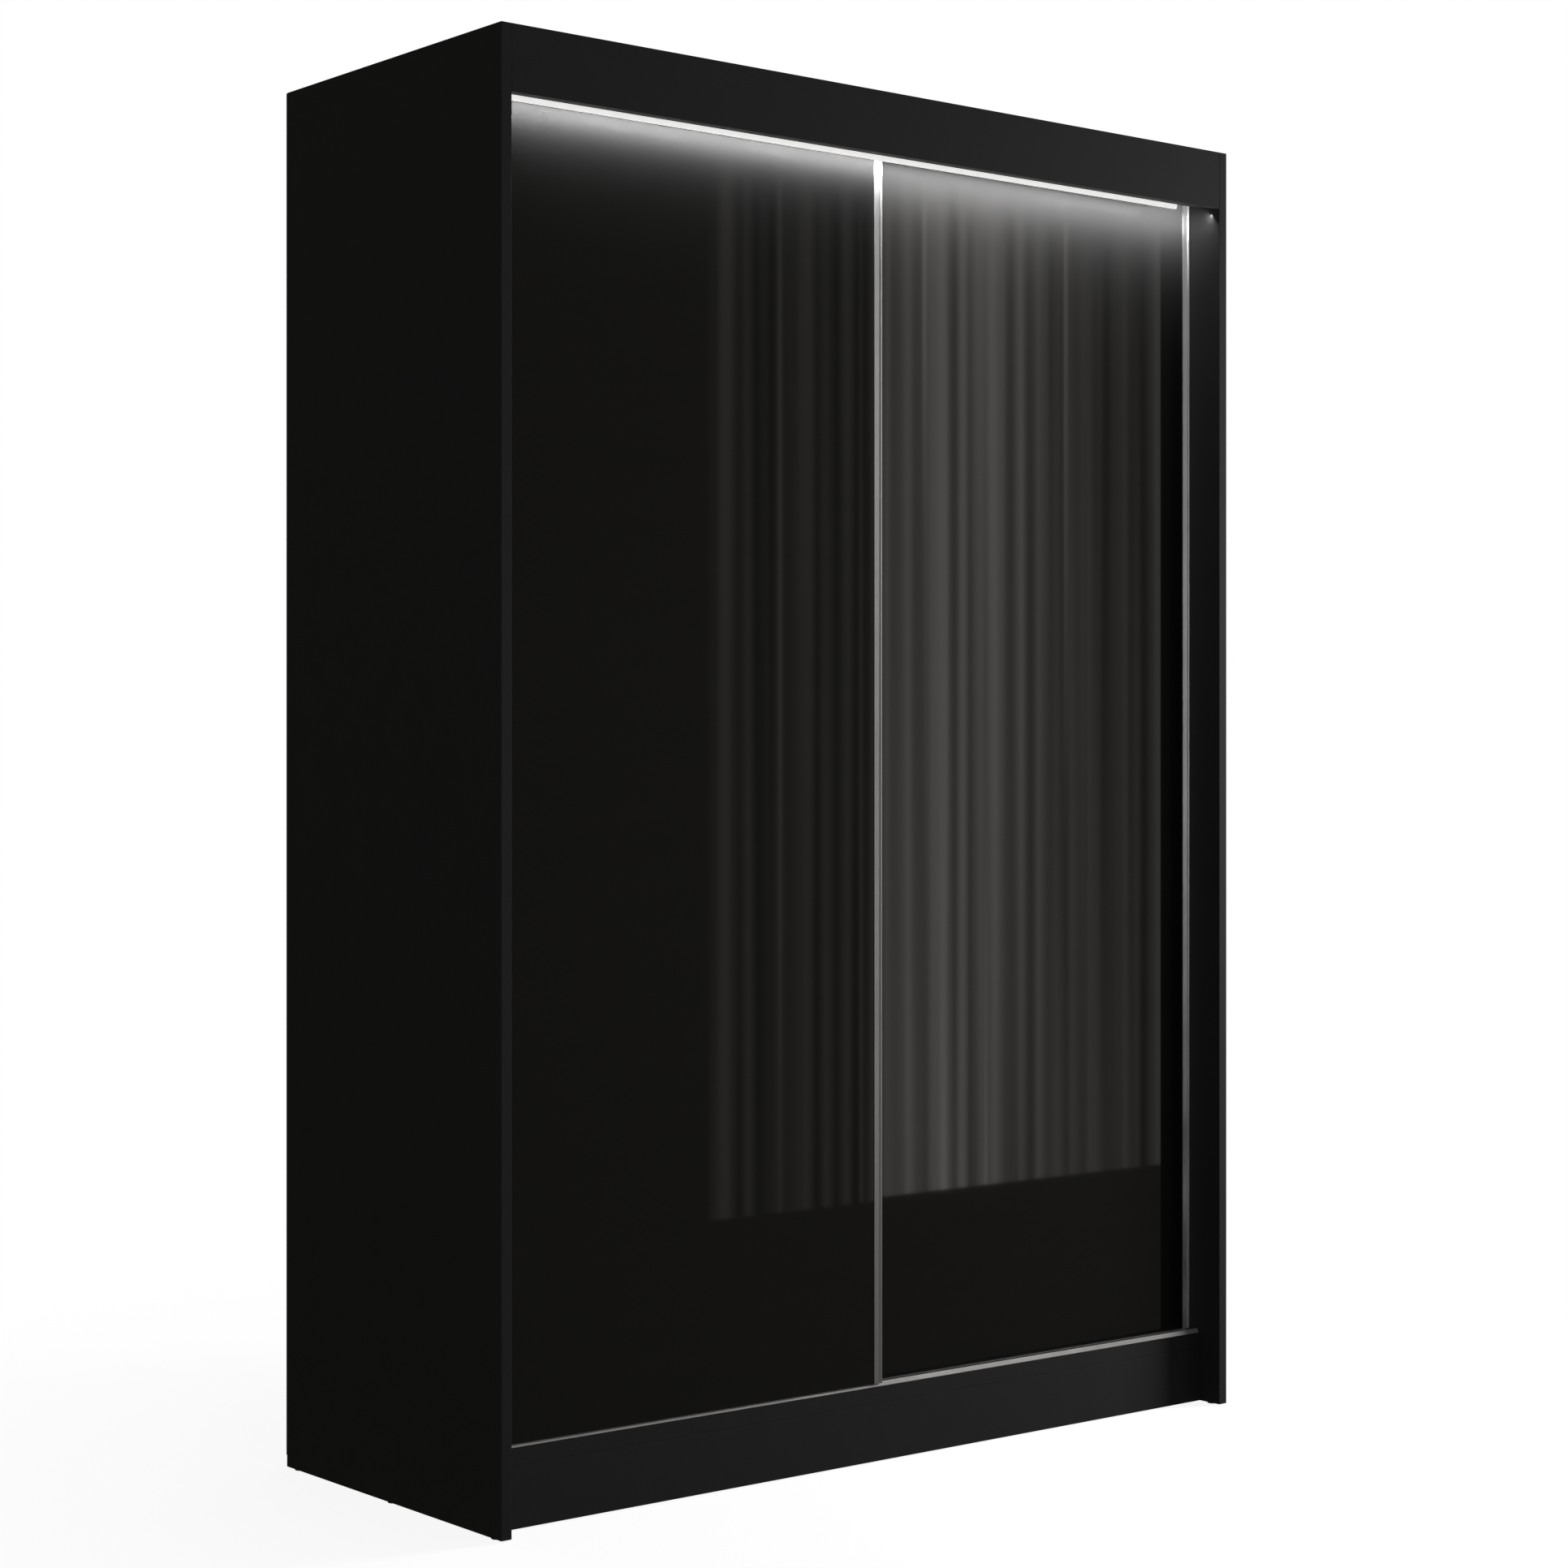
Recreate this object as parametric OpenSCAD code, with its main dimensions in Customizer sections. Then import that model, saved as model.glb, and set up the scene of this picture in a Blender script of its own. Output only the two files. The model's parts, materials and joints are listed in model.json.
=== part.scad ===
// Sliding door wardrobe: two black glass doors with aluminium edge profiles that
// bypass each other on a bottom rail, a fascia with a light bar, and a divided
// interior with a hanging bay on the left and loose shelves on the right.
//
// Millimetres. X runs to the right, Y to the back, Z up. The origin is on the
// floor, at the middle of the overall width and depth. "Setback" is a distance
// behind the front edges of the side panels.

/* [Carcass] */
// Overall width over the side panels
width = 1500; // [1300:10:1800]
// Overall height above the floor
height = 2150; // [1900:10:2400]
// Overall depth, from the side panels' front edges to the nail heads at the back
depth = 600; // [560:10:660]
// Thickness of the carcass boards
board = 18; // [16:1:22]
// Thickness of the bottom board that carries the rail
base_board = 25; // [22:1:28]
// Thickness of the hardboard back sheets
back_sheet = 3; // [2.5:0.5:4]
// Height of the plinth's top edge above the floor
plinth_top = 94; // [70:1:130]
// Setback of the plinth and of the bottom board
plinth_setback = 45; // [40:1:46]
// Height of the fascia over the doors
fascia_h = 97; // [90:1:140]

/* [Doors] */
// Setback of the front (left) door's face
door_setback = 44; // [44:1:50]
// Distance from the front door's face to the rear door's face
door_pitch = 24; // [24:1:28]
// Thickness of the door boards
door_board_t = 14; // [14:1:16]
// Thickness of the door glass
glass_t = 4; // [3:1:4]
// Overlap of the closed doors at the middle
door_overlap = 7; // [4:1:40]
// Visible width of the aluminium edge profiles
profile_w = 17; // [15:1:24]
// Travel of each door
door_travel = 726; // [600:1:726]

/* [Interior] */
// Setback of the divider's front edge
divider_setback = 100; // [100:1:140]
// Height of the hanging rail's oval tube
rail_tube_h = 30; // [25:1:35]
// Drop from the hat shelf's underside to the hanging rail's middle
rail_drop = 50; // [40:1:80]

/* [Light bar] */
// Length of the light bar
light_length = 1373; // [600:1:1373]
// Gap between the light bar and the left side panel
light_gap = 8; // [4:1:40]

/* [Hidden] */

$fn = 48;
LEFT = -1;
RIGHT = 1;
SIDES = [LEFT, RIGHT];

// Colours of the parts in this source
MELAMINE = [0.07, 0.07, 0.08];
HARDBOARD = [0.45, 0.33, 0.22];
ALUMINIUM = [0.78, 0.79, 0.81];
STEEL = [0.62, 0.63, 0.66];
GLASS = [0.02, 0.02, 0.03];
PLASTIC = [0.16, 0.16, 0.17];
NYLON = [0.88, 0.88, 0.86];
WOOD = [0.76, 0.6, 0.4];
LIT = [1, 1, 0.97];

// Carcass planes
glide_h = 2;
nail_head_t = 0.6;
front_y = -depth / 2;
back_y = depth / 2 - nail_head_t - back_sheet;
inner_x = width / 2 - board;
top_z = height - board;
floor_z = plinth_top + base_board;
divider_y = front_y + divider_setback;
fascia_z = height - fascia_h;

// Interior: four loose shelves make five equal spaces in the right bay, and the
// hat shelf lines up with the highest one
shelf_count = 4;
space_h = (top_z - floor_z - shelf_count * board) / (shelf_count + 1);
shelf_y = divider_y + 2;
shelf_gap = 0.5;
pin_r = 2.5;
pin_reach = 8;
pin_ys = [shelf_y + 40, back_y - 60];
hat_z = shelf_z(shelf_count);
hang_y = (divider_y + back_y) / 2;
hang_z = hat_z - rail_drop;
tube_wall = 1.2;
tube_w = rail_tube_h / 2;
flange_t = 2.5;
flange_collar = 9;
flange_screw_z = rail_tube_h / 2 + 9;

// Connecting fittings: a cam lock in the board's face holds the head of a bolt
// screwed into the neighbouring board, and a dowel lies beside it
cam_r = 7.5;
cam_depth = 13;
cam_inset = 34;
bolt_ys = [divider_y + 70, back_y - 70];
bolt_grip = 11;
bolt_thread_r = 2.5;
bolt_r = 3;
bolt_head_t = 3;
bolt_neck_t = 4;
bolt_neck_r = 2;
dowel_r = 4;
dowel_grip = 10;
dowel_reach = 22;
dowel_step = 32;
dowel_edge = 20;
divider_dowel_inset = 60;

// Base
plinth_rear_inset = 12;
brace_xs = [-inner_x / 2, 0, inner_x / 2];
glide_r = 8;

// Wall brackets
bracket_w = 40;
bracket_leg = 40;
bracket_t = 2;
bracket_x = inner_x - 120;
bracket_hole_r = 3;
bracket_hole_z = top_z - 24;

// Doors
wall_t = 1.2;
door_t = 2 * wall_t + glass_t + door_board_t;
side_gap = 1;
door_w = inner_x - side_gap + door_overlap / 2;
door_mid_x = inner_x - side_gap - door_w / 2;
panel_half_w = door_w / 2 - profile_w / 2;
glass_bottom_z = floor_z + 5.4;
board_bottom_z = floor_z + 9;
door_top_z = top_z - 34;

// Bottom rollers: a grooved wheel on a bead of the rail, in a plastic housing let
// into the lower edge of the door board
roller_y = 13;
roller_w = 6;
roller_r = 13;
running_r = 10.5;
bead_r = 2;
bead_top_z = floor_z + 5;
running_gap = 0.1;
roller_z = bead_top_z + running_r + running_gap;
roller_inset = 90;
axle_r = 2;
axle_play = 0.05;
housing_w = 60;
housing_h = 52;
housing_y0 = 7.5;
housing_y1 = 19.2;
housing_flange_w = 96;
housing_flange_t = 1.2;

// Top guides: a wheel with an upright axle in a channel of the top track
guide_y = 12;
guide_r = 10.7;
guide_h = 8;
guide_z0 = door_top_z + 12;
guide_inset = 50;
post_r = 2.5;
guide_base_w = 30;
guide_base_h = 25;
guide_base_t = 10;
guide_flange_w = 64;
guide_flange_t = 2;

// Tracks
channel_w = 22;
web_t = door_pitch - channel_w;
web_drop = 26;
track_t = 1.8;
track_end_gap = 0.5;
track_len = 2 * (inner_x - track_end_gap);
top_track_y0 = front_y + door_setback + guide_y - channel_w / 2 - web_t;
top_track_w = 2 * door_pitch + web_t;
rail_base_t = 1.6;
rail_y0 = front_y + 48;
rail_w = 47;

// Stops in the top track: where a guide wheel's rim rests with the door closed,
// and where the other wheel's rim arrives at the end of the travel
stop_play = 1.8;
rest_stop_x = inner_x - side_gap - guide_inset + guide_r + stop_play;
travel_stop_x = door_overlap / 2 - guide_inset + door_travel + guide_r + stop_play;

// Light bar
light_x0 = -inner_x + light_gap;
light_x1 = light_x0 + light_length;
light_y0 = front_y + board + 1;
light_y1 = light_y0 + 12;
light_z0 = fascia_z - 5.5;
light_z1 = fascia_z + 3;
light_slant = 5;
light_channel_h = 10;
light_channel_y0 = light_y0 - 1;
light_roof_z = light_z1 + light_channel_h - 2;
cap_t = 1.5;

// Underside of shelf i of the right bay, counted from the bottom
function shelf_z(i) = floor_z + i * space_h + (i - 1) * board;

// Front face of the door on a side
function door_y(side) = front_y + door_setback + (side == LEFT ? 0 : door_pitch);

// ---------- shared shapes ----------

// Box between two corners
module block(a, b) {
    translate(a)
        cube(b - a);
}

// Round bar between two ends along X, Y or Z
module bar_x(x0, x1, y, z, r) {
    translate([x0, y, z])
        rotate([0, 90, 0])
            cylinder(h = x1 - x0, r = r);
}

module bar_y(y0, y1, x, z, r) {
    translate([x, y0, z])
        rotate([-90, 0, 0])
            cylinder(h = y1 - y0, r = r);
}

module bar_z(z0, z1, x, y, r) {
    translate([x, y, z0])
        cylinder(h = z1 - z0, r = r);
}

// Flat oval with its long way along Y, for the hanging rail and its flanges
module flat_oval(long, short) {
    square([long - short, short], center = true);
    for (s = SIDES)
        translate([s * (long - short) / 2, 0])
            circle(d = short);
}

// Section in the Y-Z plane, given as (y, z), carried along X from x0 over a length
module along_x(x0, length) {
    translate([x0, 0, 0])
        rotate([90, 0, 90])
            linear_extrude(length)
                children();
}

// Puts a door's own coordinates in place: x from the door's middle, y from its face
module at_door(side) {
    translate([side * door_mid_x, door_y(side), 0])
        children();
}

// Countersunk wood screw, head up at z = 0 and thread going down
module wood_screw(length) {
    head_r = 3.4;
    head_h = 2.2;
    shank_r = 1.7;
    tip_h = 4;
    rotate_extrude()
        polygon([
            [0, 0], [head_r, 0], [shank_r, -head_h], [shank_r, -length + tip_h], [0, -length]
        ]);
}

// ---------- fittings ----------

// Places its children at every cam of an end-jointed board: at the face of the
// neighbouring board, turned so that +X leads into the jointed board
module at_ends(x_left, x_right, ys, z) {
    for (y = ys) {
        translate([x_left, y, z])
            children();
        translate([x_right, y, z])
            mirror([1, 0, 0])
                children();
    }
}

// Places its children at all cam joints
module at_cams() {
    at_ends(-inner_x, inner_x, bolt_ys, top_z + board / 2)
        children();
    at_ends(-inner_x, inner_x, bolt_ys, plinth_top + base_board / 2)
        children();
    at_ends(-inner_x, -board / 2, bolt_ys, hat_z + board / 2)
        children();
}

// Places its children at all dowel joints between boards and side panels
module at_dowels() {
    dowel_ys = [bolt_ys[0] + dowel_step, bolt_ys[1] - dowel_step];
    at_ends(-inner_x, inner_x, dowel_ys, top_z + board / 2)
        children();
    at_ends(-inner_x, inner_x, dowel_ys, plinth_top + base_board / 2)
        children();
    for (z = [fascia_z + dowel_edge, height - dowel_edge])
        at_ends(-inner_x, inner_x, [front_y + board / 2], z)
            children();
    for (z = [dowel_edge, plinth_top - dowel_edge])
        at_ends(-inner_x, inner_x, [front_y + plinth_setback + board / 2], z)
            children();
}

// Places its children where upright dowels join the divider to top and bottom,
// turned so that +Z leads into the divider
module at_divider_dowels() {
    for (y = [divider_y + divider_dowel_inset, hang_y, back_y - divider_dowel_inset]) {
        translate([0, y, floor_z])
            children();
        translate([0, y, top_z])
            mirror([0, 0, 1])
                children();
    }
}

// Room for one bolt: threaded stretch in the side, shank in the jointed board
module bolt_bore() {
    bar_x(-bolt_grip, 0, 0, 0, bolt_thread_r);
    bar_x(0, cam_inset, 0, 0, bolt_r);
}

// The bolt itself, with a thin neck behind the head for the cam to grip
module bolt_shape() {
    head_x = cam_inset - bolt_head_t;
    neck_x = head_x - bolt_neck_t;
    bar_x(-bolt_grip, 0, 0, 0, bolt_thread_r);
    bar_x(0, neck_x, 0, 0, bolt_r);
    bar_x(neck_x, head_x, 0, 0, bolt_neck_r);
    bar_x(head_x, cam_inset, 0, 0, bolt_r);
}

module dowel_shape() {
    bar_x(-dowel_grip, dowel_reach, 0, 0, dowel_r);
}

module upright_dowel_shape() {
    bar_z(-dowel_grip, dowel_reach, 0, 0, dowel_r);
}

// Cam lock below the board's outer face, which lies face_z above the bolt's axis
module cam_disc(face_z) {
    bar_z(face_z - cam_depth, face_z, cam_inset, 0, cam_r);
}

// Faces of the boards that hold the cams, from the bolts' axes: the top panel's
// cams are let in from above, the others from below
module at_top_cams() {
    at_ends(-inner_x, inner_x, bolt_ys, top_z + board / 2)
        cam_disc(board / 2);
}

module at_bottom_cams() {
    at_ends(-inner_x, inner_x, bolt_ys, plinth_top + base_board / 2)
        mirror([0, 0, 1])
            cam_disc(base_board / 2);
}

module at_hat_cams() {
    at_ends(-inner_x, -board / 2, bolt_ys, hat_z + board / 2)
        mirror([0, 0, 1])
            cam_disc(board / 2);
}

// Steel pins under the loose shelves, half in the bay wall whose face is at x_wall
module pin_group(x_wall) {
    for (i = [1:shelf_count], y = pin_ys)
        bar_x(x_wall - pin_reach, x_wall + pin_reach, y, shelf_z(i) - pin_r, pin_r);
}

// ---------- carcass boards ----------

// Side panel without its bores
module side_blank(side) {
    x0 = side == LEFT ? -width / 2 : inner_x;
    block([x0, front_y, glide_h], [x0 + board, back_y, height]);
}

module side_panel_left() {
    color(MELAMINE)
        difference() {
            side_blank(LEFT);
            at_cams()
                bolt_bore();
            at_dowels()
                dowel_shape();
        }
}

module side_panel_right() {
    color(MELAMINE)
        difference() {
            side_blank(RIGHT);
            at_cams()
                bolt_bore();
            at_dowels()
                dowel_shape();
            pin_group(inner_x);
        }
}

module top_panel() {
    color(MELAMINE)
        difference() {
            block([-inner_x, front_y + board, top_z], [inner_x, back_y, height]);
            at_cams()
                bolt_bore();
            at_top_cams();
            at_dowels()
                dowel_shape();
            at_divider_dowels()
                upright_dowel_shape();
        }
}

module bottom_panel() {
    color(MELAMINE)
        difference() {
            block([-inner_x, front_y + plinth_setback, plinth_top], [inner_x, back_y, floor_z]);
            at_cams()
                bolt_bore();
            at_bottom_cams();
            at_dowels()
                dowel_shape();
            at_divider_dowels()
                upright_dowel_shape();
        }
}

module centre_divider() {
    color(MELAMINE)
        difference() {
            block([-board / 2, divider_y, floor_z], [board / 2, back_y, top_z]);
            at_cams()
                bolt_bore();
            at_divider_dowels()
                upright_dowel_shape();
            pin_group(board / 2);
        }
}

module fascia() {
    color(MELAMINE)
        difference() {
            block([-inner_x, front_y, fascia_z], [inner_x, front_y + board, height]);
            at_dowels()
                dowel_shape();
        }
}

module plinth_front() {
    seam = 0.6;
    y0 = front_y + plinth_setback;
    color(MELAMINE)
        difference() {
            block([-inner_x, y0, glide_h], [inner_x, y0 + board, plinth_top - seam]);
            at_dowels()
                dowel_shape();
        }
}

module plinth_rear() {
    y1 = back_y - plinth_rear_inset;
    color(MELAMINE)
        block([-inner_x, y1 - board, glide_h], [inner_x, y1, plinth_top]);
}

module plinth_braces() {
    y0 = front_y + plinth_setback + board;
    y1 = back_y - plinth_rear_inset - board;
    color(MELAMINE)
        for (x = brace_xs)
            block([x - board / 2, y0, glide_h], [x + board / 2, y1, plinth_top]);
}

// Back sheet of one side, with the hole in front of the wall bracket's hole
module back_panel(side) {
    edge = 1;
    foot_z = 20;
    x_out = side * (width / 2 - edge);
    x0 = min(x_out, 0);
    x1 = max(x_out, 0);
    color(HARDBOARD)
        difference() {
            block([x0, back_y, foot_z], [x1, back_y + back_sheet, height - edge]);
            bar_y(back_y - 1, back_y + back_sheet + 1, side * bracket_x, bracket_hole_z, bracket_hole_r);
        }
}

module hat_shelf() {
    color(MELAMINE)
        difference() {
            block([-inner_x, shelf_y, hat_z], [-board / 2, back_y, hat_z + board]);
            at_cams()
                bolt_bore();
            at_hat_cams();
        }
}

module shelf(i) {
    color(MELAMINE)
        block(
            [board / 2 + shelf_gap, shelf_y, shelf_z(i)],
            [inner_x - shelf_gap, back_y - shelf_gap, shelf_z(i) + board]
        );
}

// ---------- interior fittings ----------

module hanging_rail() {
    x0 = -inner_x + flange_t;
    length = inner_x - board / 2 - 2 * flange_t;
    color(STEEL)
        translate([x0, hang_y, hang_z])
            rotate([0, 90, 0])
                linear_extrude(length)
                    difference() {
                        flat_oval(rail_tube_h, tube_w);
                        flat_oval(rail_tube_h - 2 * tube_wall, tube_w - 2 * tube_wall);
                    }
}

// Wall plate with a collar round the end of the rail and two screw holes
module rail_flange() {
    plate_h = rail_tube_h + 34;
    plate_w = tube_w + 14;
    collar_wall = 2.5;
    screw_hole_r = 2.2;
    difference() {
        union() {
            linear_extrude(flange_t)
                flat_oval(plate_h, plate_w);
            linear_extrude(flange_collar)
                flat_oval(rail_tube_h + 2 * collar_wall, tube_w + 2 * collar_wall);
        }
        translate([0, 0, flange_t])
            linear_extrude(flange_collar)
                flat_oval(rail_tube_h, tube_w);
        for (s = SIDES)
            translate([s * flange_screw_z, 0, 0])
                cylinder(h = 3 * flange_t, r = screw_hole_r, center = true);
    }
}

module rail_flanges() {
    color(STEEL) {
        translate([-inner_x, hang_y, hang_z])
            rotate([0, 90, 0])
                rail_flange();
        translate([-board / 2, hang_y, hang_z])
            rotate([0, -90, 0])
                rail_flange();
    }
}

// Cam locks: discs with a cross slot and a mouth for the bolt's head
module cam_locks() {
    slot_w = 1.6;
    slot_length = 1.2 * cam_r;
    slot_depth = 1.5;
    color(STEEL)
        difference() {
            union() {
                at_top_cams();
                at_bottom_cams();
                at_hat_cams();
            }
            at_cams()
                bolt_bore();
            for (z = [height, plinth_top, hat_z])
                at_ends(-inner_x, z == hat_z ? -board / 2 : inner_x, bolt_ys, z)
                    for (a = [0, 90])
                        translate([cam_inset, 0, 0])
                            rotate(a)
                                cube([slot_length, slot_w, 2 * slot_depth], center = true);
        }
}

module cam_bolts() {
    color(STEEL)
        at_cams()
            bolt_shape();
}

module dowels() {
    color(WOOD) {
        at_dowels()
            dowel_shape();
        at_divider_dowels()
            upright_dowel_shape();
    }
}

module shelf_pins() {
    color(STEEL) {
        pin_group(inner_x);
        pin_group(board / 2);
    }
}

// Nails through the back sheets: along both outer edges, on both sides of the
// divider's middle, and along the top and bottom boards
module back_nails() {
    rows = 13;
    per_board = 4;
    z_low = plinth_top + base_board / 2;
    z_high = top_z + board / 2;
    x_side = width / 2 - board / 2;
    x_seam = board / 4;
    color(STEEL) {
        for (i = [0:rows], x = [-x_side, -x_seam, x_seam, x_side])
            nail(x, z_low + (z_high - z_low) * i / rows);
        for (s = SIDES, i = [1:per_board], z = [z_low, z_high])
            nail(s * (x_seam + (x_side - x_seam) * i / (per_board + 1)), z);
    }
}

module nail(x, z) {
    head_r = 2.6;
    shank_r = 0.9;
    grip = 16;
    bar_y(back_y + back_sheet, depth / 2, x, z, head_r);
    bar_y(back_y - grip, back_y + back_sheet, x, z, shank_r);
}

// Screws: brackets to the top panel, rail flanges, and the two tracks
module carcass_screws() {
    long_screw = 16;
    screw = 14;
    short_screw = 11;
    bracket_y = back_y - bracket_leg + 12;
    bracket_dx = bracket_w / 4;
    end_inset = 60;
    track_xs = [for (i = [-2:2]) i * (inner_x - end_inset) / 2];
    rail_y = rail_y0 + rail_w - 26;
    channel_y = top_track_y0 + web_t + channel_w / 2;
    color(STEEL) {
        for (s = SIDES, dx = [-bracket_dx, bracket_dx])
            translate([s * bracket_x + dx, bracket_y, top_z - bracket_t])
                mirror([0, 0, 1])
                    wood_screw(screw);
        for (s = SIDES) {
            translate([-inner_x + flange_t, hang_y, hang_z + s * flange_screw_z])
                rotate([0, 90, 0])
                    wood_screw(screw);
            translate([-board / 2 - flange_t, hang_y, hang_z + s * flange_screw_z])
                rotate([0, -90, 0])
                    wood_screw(short_screw);
        }
        for (x = track_xs) {
            translate([x, rail_y, floor_z + rail_base_t])
                wood_screw(long_screw);
            for (k = [0, 1])
                translate([x, channel_y + k * door_pitch, top_z - track_t])
                    mirror([0, 0, 1])
                        wood_screw(screw);
        }
    }
}

// Angles against tipping, under the top panel and against the back sheet
module wall_brackets() {
    color(STEEL)
        for (s = SIDES)
            difference() {
                union() {
                    block(
                        [s * bracket_x - bracket_w / 2, back_y - bracket_leg, top_z - bracket_t],
                        [s * bracket_x + bracket_w / 2, back_y, top_z]
                    );
                    block(
                        [s * bracket_x - bracket_w / 2, back_y - bracket_t, top_z - bracket_leg],
                        [s * bracket_x + bracket_w / 2, back_y, top_z]
                    );
                }
                bar_y(back_y - bracket_t - 1, back_y + 1, s * bracket_x, bracket_hole_z, bracket_hole_r);
            }
}

// Nail-on glides under the side panels and the middle brace
module floor_glides() {
    x_side = width / 2 - board / 2;
    side_inset = 25;
    brace_y0 = front_y + plinth_setback + board + 30;
    brace_y1 = back_y - 80;
    color(PLASTIC) {
        for (s = SIDES, y = [front_y + side_inset, 0, back_y - side_inset])
            bar_z(0, glide_h, s * x_side, y, glide_r);
        for (y = [brace_y0, brace_y1])
            bar_z(0, glide_h, 0, y, glide_r);
    }
}

// ---------- tracks ----------

// Double channel under the top panel: a plate with three webs
module top_track() {
    color(ALUMINIUM)
        along_x(-track_len / 2, track_len)
            translate([top_track_y0, 0]) {
                translate([0, top_z - track_t])
                    square([top_track_w, track_t]);
                for (k = [0:2])
                    translate([k * door_pitch, top_z - web_drop])
                        square([web_t, web_drop - track_t]);
            }
}

// Bottom rail: base plate, leaning front lip with a round top, a bead for each
// door's rollers and a low rear lip
module bottom_track() {
    lip_h = 7;
    lip_lean = 4;
    lip_t = 2;
    lip_foot = 2.6;
    rear_lip_h = 4;
    color(ALUMINIUM)
        along_x(-track_len / 2, track_len)
            translate([rail_y0, floor_z]) {
                square([rail_w, rail_base_t]);
                polygon([
                    [0, 0], [lip_foot, 0], [lip_lean + lip_t / 2, lip_h - lip_t / 2],
                    [lip_lean - lip_t / 2, lip_h - lip_t / 2]
                ]);
                translate([lip_lean, lip_h - lip_t / 2])
                    circle(d = lip_t);
                for (side = SIDES) {
                    y = door_y(side) + roller_y - rail_y0;
                    translate([y - bead_r, 0])
                        square([2 * bead_r, bead_top_z - floor_z - bead_r]);
                    translate([y, bead_top_z - floor_z - bead_r])
                        circle(r = bead_r);
                }
                translate([rail_w - rail_base_t, 0])
                    square([rail_base_t, rear_lip_h]);
            }
}

// Rubber block in a door's channel, from a wheel's stopping point to the track's end
module door_stop(side, towards, stop_x) {
    y_play = 2;
    z_play = 2;
    y0 = door_y(side) + guide_y - channel_w / 2 + y_play;
    x_a = towards * stop_x;
    x_b = towards * (inner_x - track_end_gap);
    block(
        [min(x_a, x_b), y0, guide_z0 - z_play],
        [max(x_a, x_b), y0 + channel_w - 2 * y_play, top_z - track_t]
    );
}

module door_stops() {
    color(PLASTIC)
        for (side = SIDES) {
            door_stop(side, side, rest_stop_x);
            door_stop(side, -side, travel_stop_x);
        }
}

// ---------- light bar ----------

// Section of the opal diffuser: its front face slants back towards the bottom
module diffuser_outline() {
    bottom_r = 1.2;
    polygon([
        [light_y0, light_z1], [light_y0 + light_slant, light_z0],
        [light_y1 - bottom_r, light_z0], [light_y1, light_z0 + bottom_r], [light_y1, light_z1]
    ]);
}

// Aluminium channel over the diffuser, open below
module led_channel() {
    front_wall = 1.5;
    rear_wall = 1;
    color(ALUMINIUM)
        along_x(light_x0, light_length) {
            translate([light_channel_y0, light_roof_z])
                square([light_y1 - light_channel_y0, light_z1 + light_channel_h - light_roof_z]);
            translate([light_channel_y0, light_z1])
                square([front_wall, light_channel_h]);
            translate([light_y1 - rear_wall, light_z1])
                square([rear_wall, light_channel_h]);
        }
}

module led_diffuser() {
    color(LIT)
        along_x(light_x0, light_length)
            diffuser_outline();
}

// Thin circuit strip with its row of chips, on the channel's inner face
module led_tape() {
    strip_w = 8;
    strip_t = 0.4;
    end_gap = 4;
    chip = 5;
    chip_t = 1.2;
    chip_step = 40;
    chips = floor(light_length / chip_step) - 1;
    y_mid = (light_y0 + light_y1) / 2;
    chip_z1 = light_roof_z - strip_t;
    color(LIT) {
        block(
            [light_x0 + end_gap, y_mid - strip_w / 2, chip_z1],
            [light_x1 - end_gap, y_mid + strip_w / 2, light_roof_z]
        );
        for (i = [1:chips])
            translate([light_x0 + i * chip_step, y_mid, chip_z1])
                block([-chip / 2, -chip / 2, -chip_t], [chip / 2, chip / 2, 0]);
    }
}

module led_end_caps() {
    color(PLASTIC)
        for (x = [light_x0 - cap_t, light_x1])
            along_x(x, cap_t) {
                diffuser_outline();
                translate([light_channel_y0, light_z1])
                    square([light_y1 - light_channel_y0, light_channel_h]);
            }
}

// Slim supply under the top panel behind the fascia, with a power inlet at its end
module led_driver() {
    length = 150;
    body_t = 16;
    body_h = 30;
    inlet_r = 2.75;
    inlet_depth = 9;
    x1 = light_x1;
    y0 = front_y + board + 2;
    color(PLASTIC)
        difference() {
            block([x1 - length, y0, top_z - body_h], [x1, y0 + body_t, top_z]);
            bar_x(x1 - inlet_depth, x1 + 1, y0 + body_t / 2, top_z - body_h / 2, inlet_r);
        }
}

// ---------- doors ----------

// Bores and pockets that the hardware needs in a door board
module door_pockets() {
    for (s = SIDES) {
        translate([s * (door_w / 2 - roller_inset), 0, 0])
            block(
                [-housing_w / 2, housing_y0, board_bottom_z - 1],
                [housing_w / 2, housing_y1 + 1, board_bottom_z + housing_h]
            );
        translate([s * (door_w / 2 - guide_inset), 0, 0])
            block(
                [-guide_base_w / 2, guide_y - guide_base_t / 2, door_top_z - guide_base_h],
                [guide_base_w / 2, guide_y + guide_base_t / 2, door_top_z + 1]
            );
    }
}

module door_board(side) {
    y0 = wall_t + glass_t;
    color(MELAMINE)
        at_door(side)
            difference() {
                block(
                    [-panel_half_w, y0, board_bottom_z],
                    [panel_half_w, y0 + door_board_t, door_top_z]
                );
                door_pockets();
            }
}

module door_glass(side) {
    color(GLASS)
        at_door(side)
            block(
                [-panel_half_w, wall_t, glass_bottom_z],
                [panel_half_w, wall_t + glass_t, door_top_z]
            );
}

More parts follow.
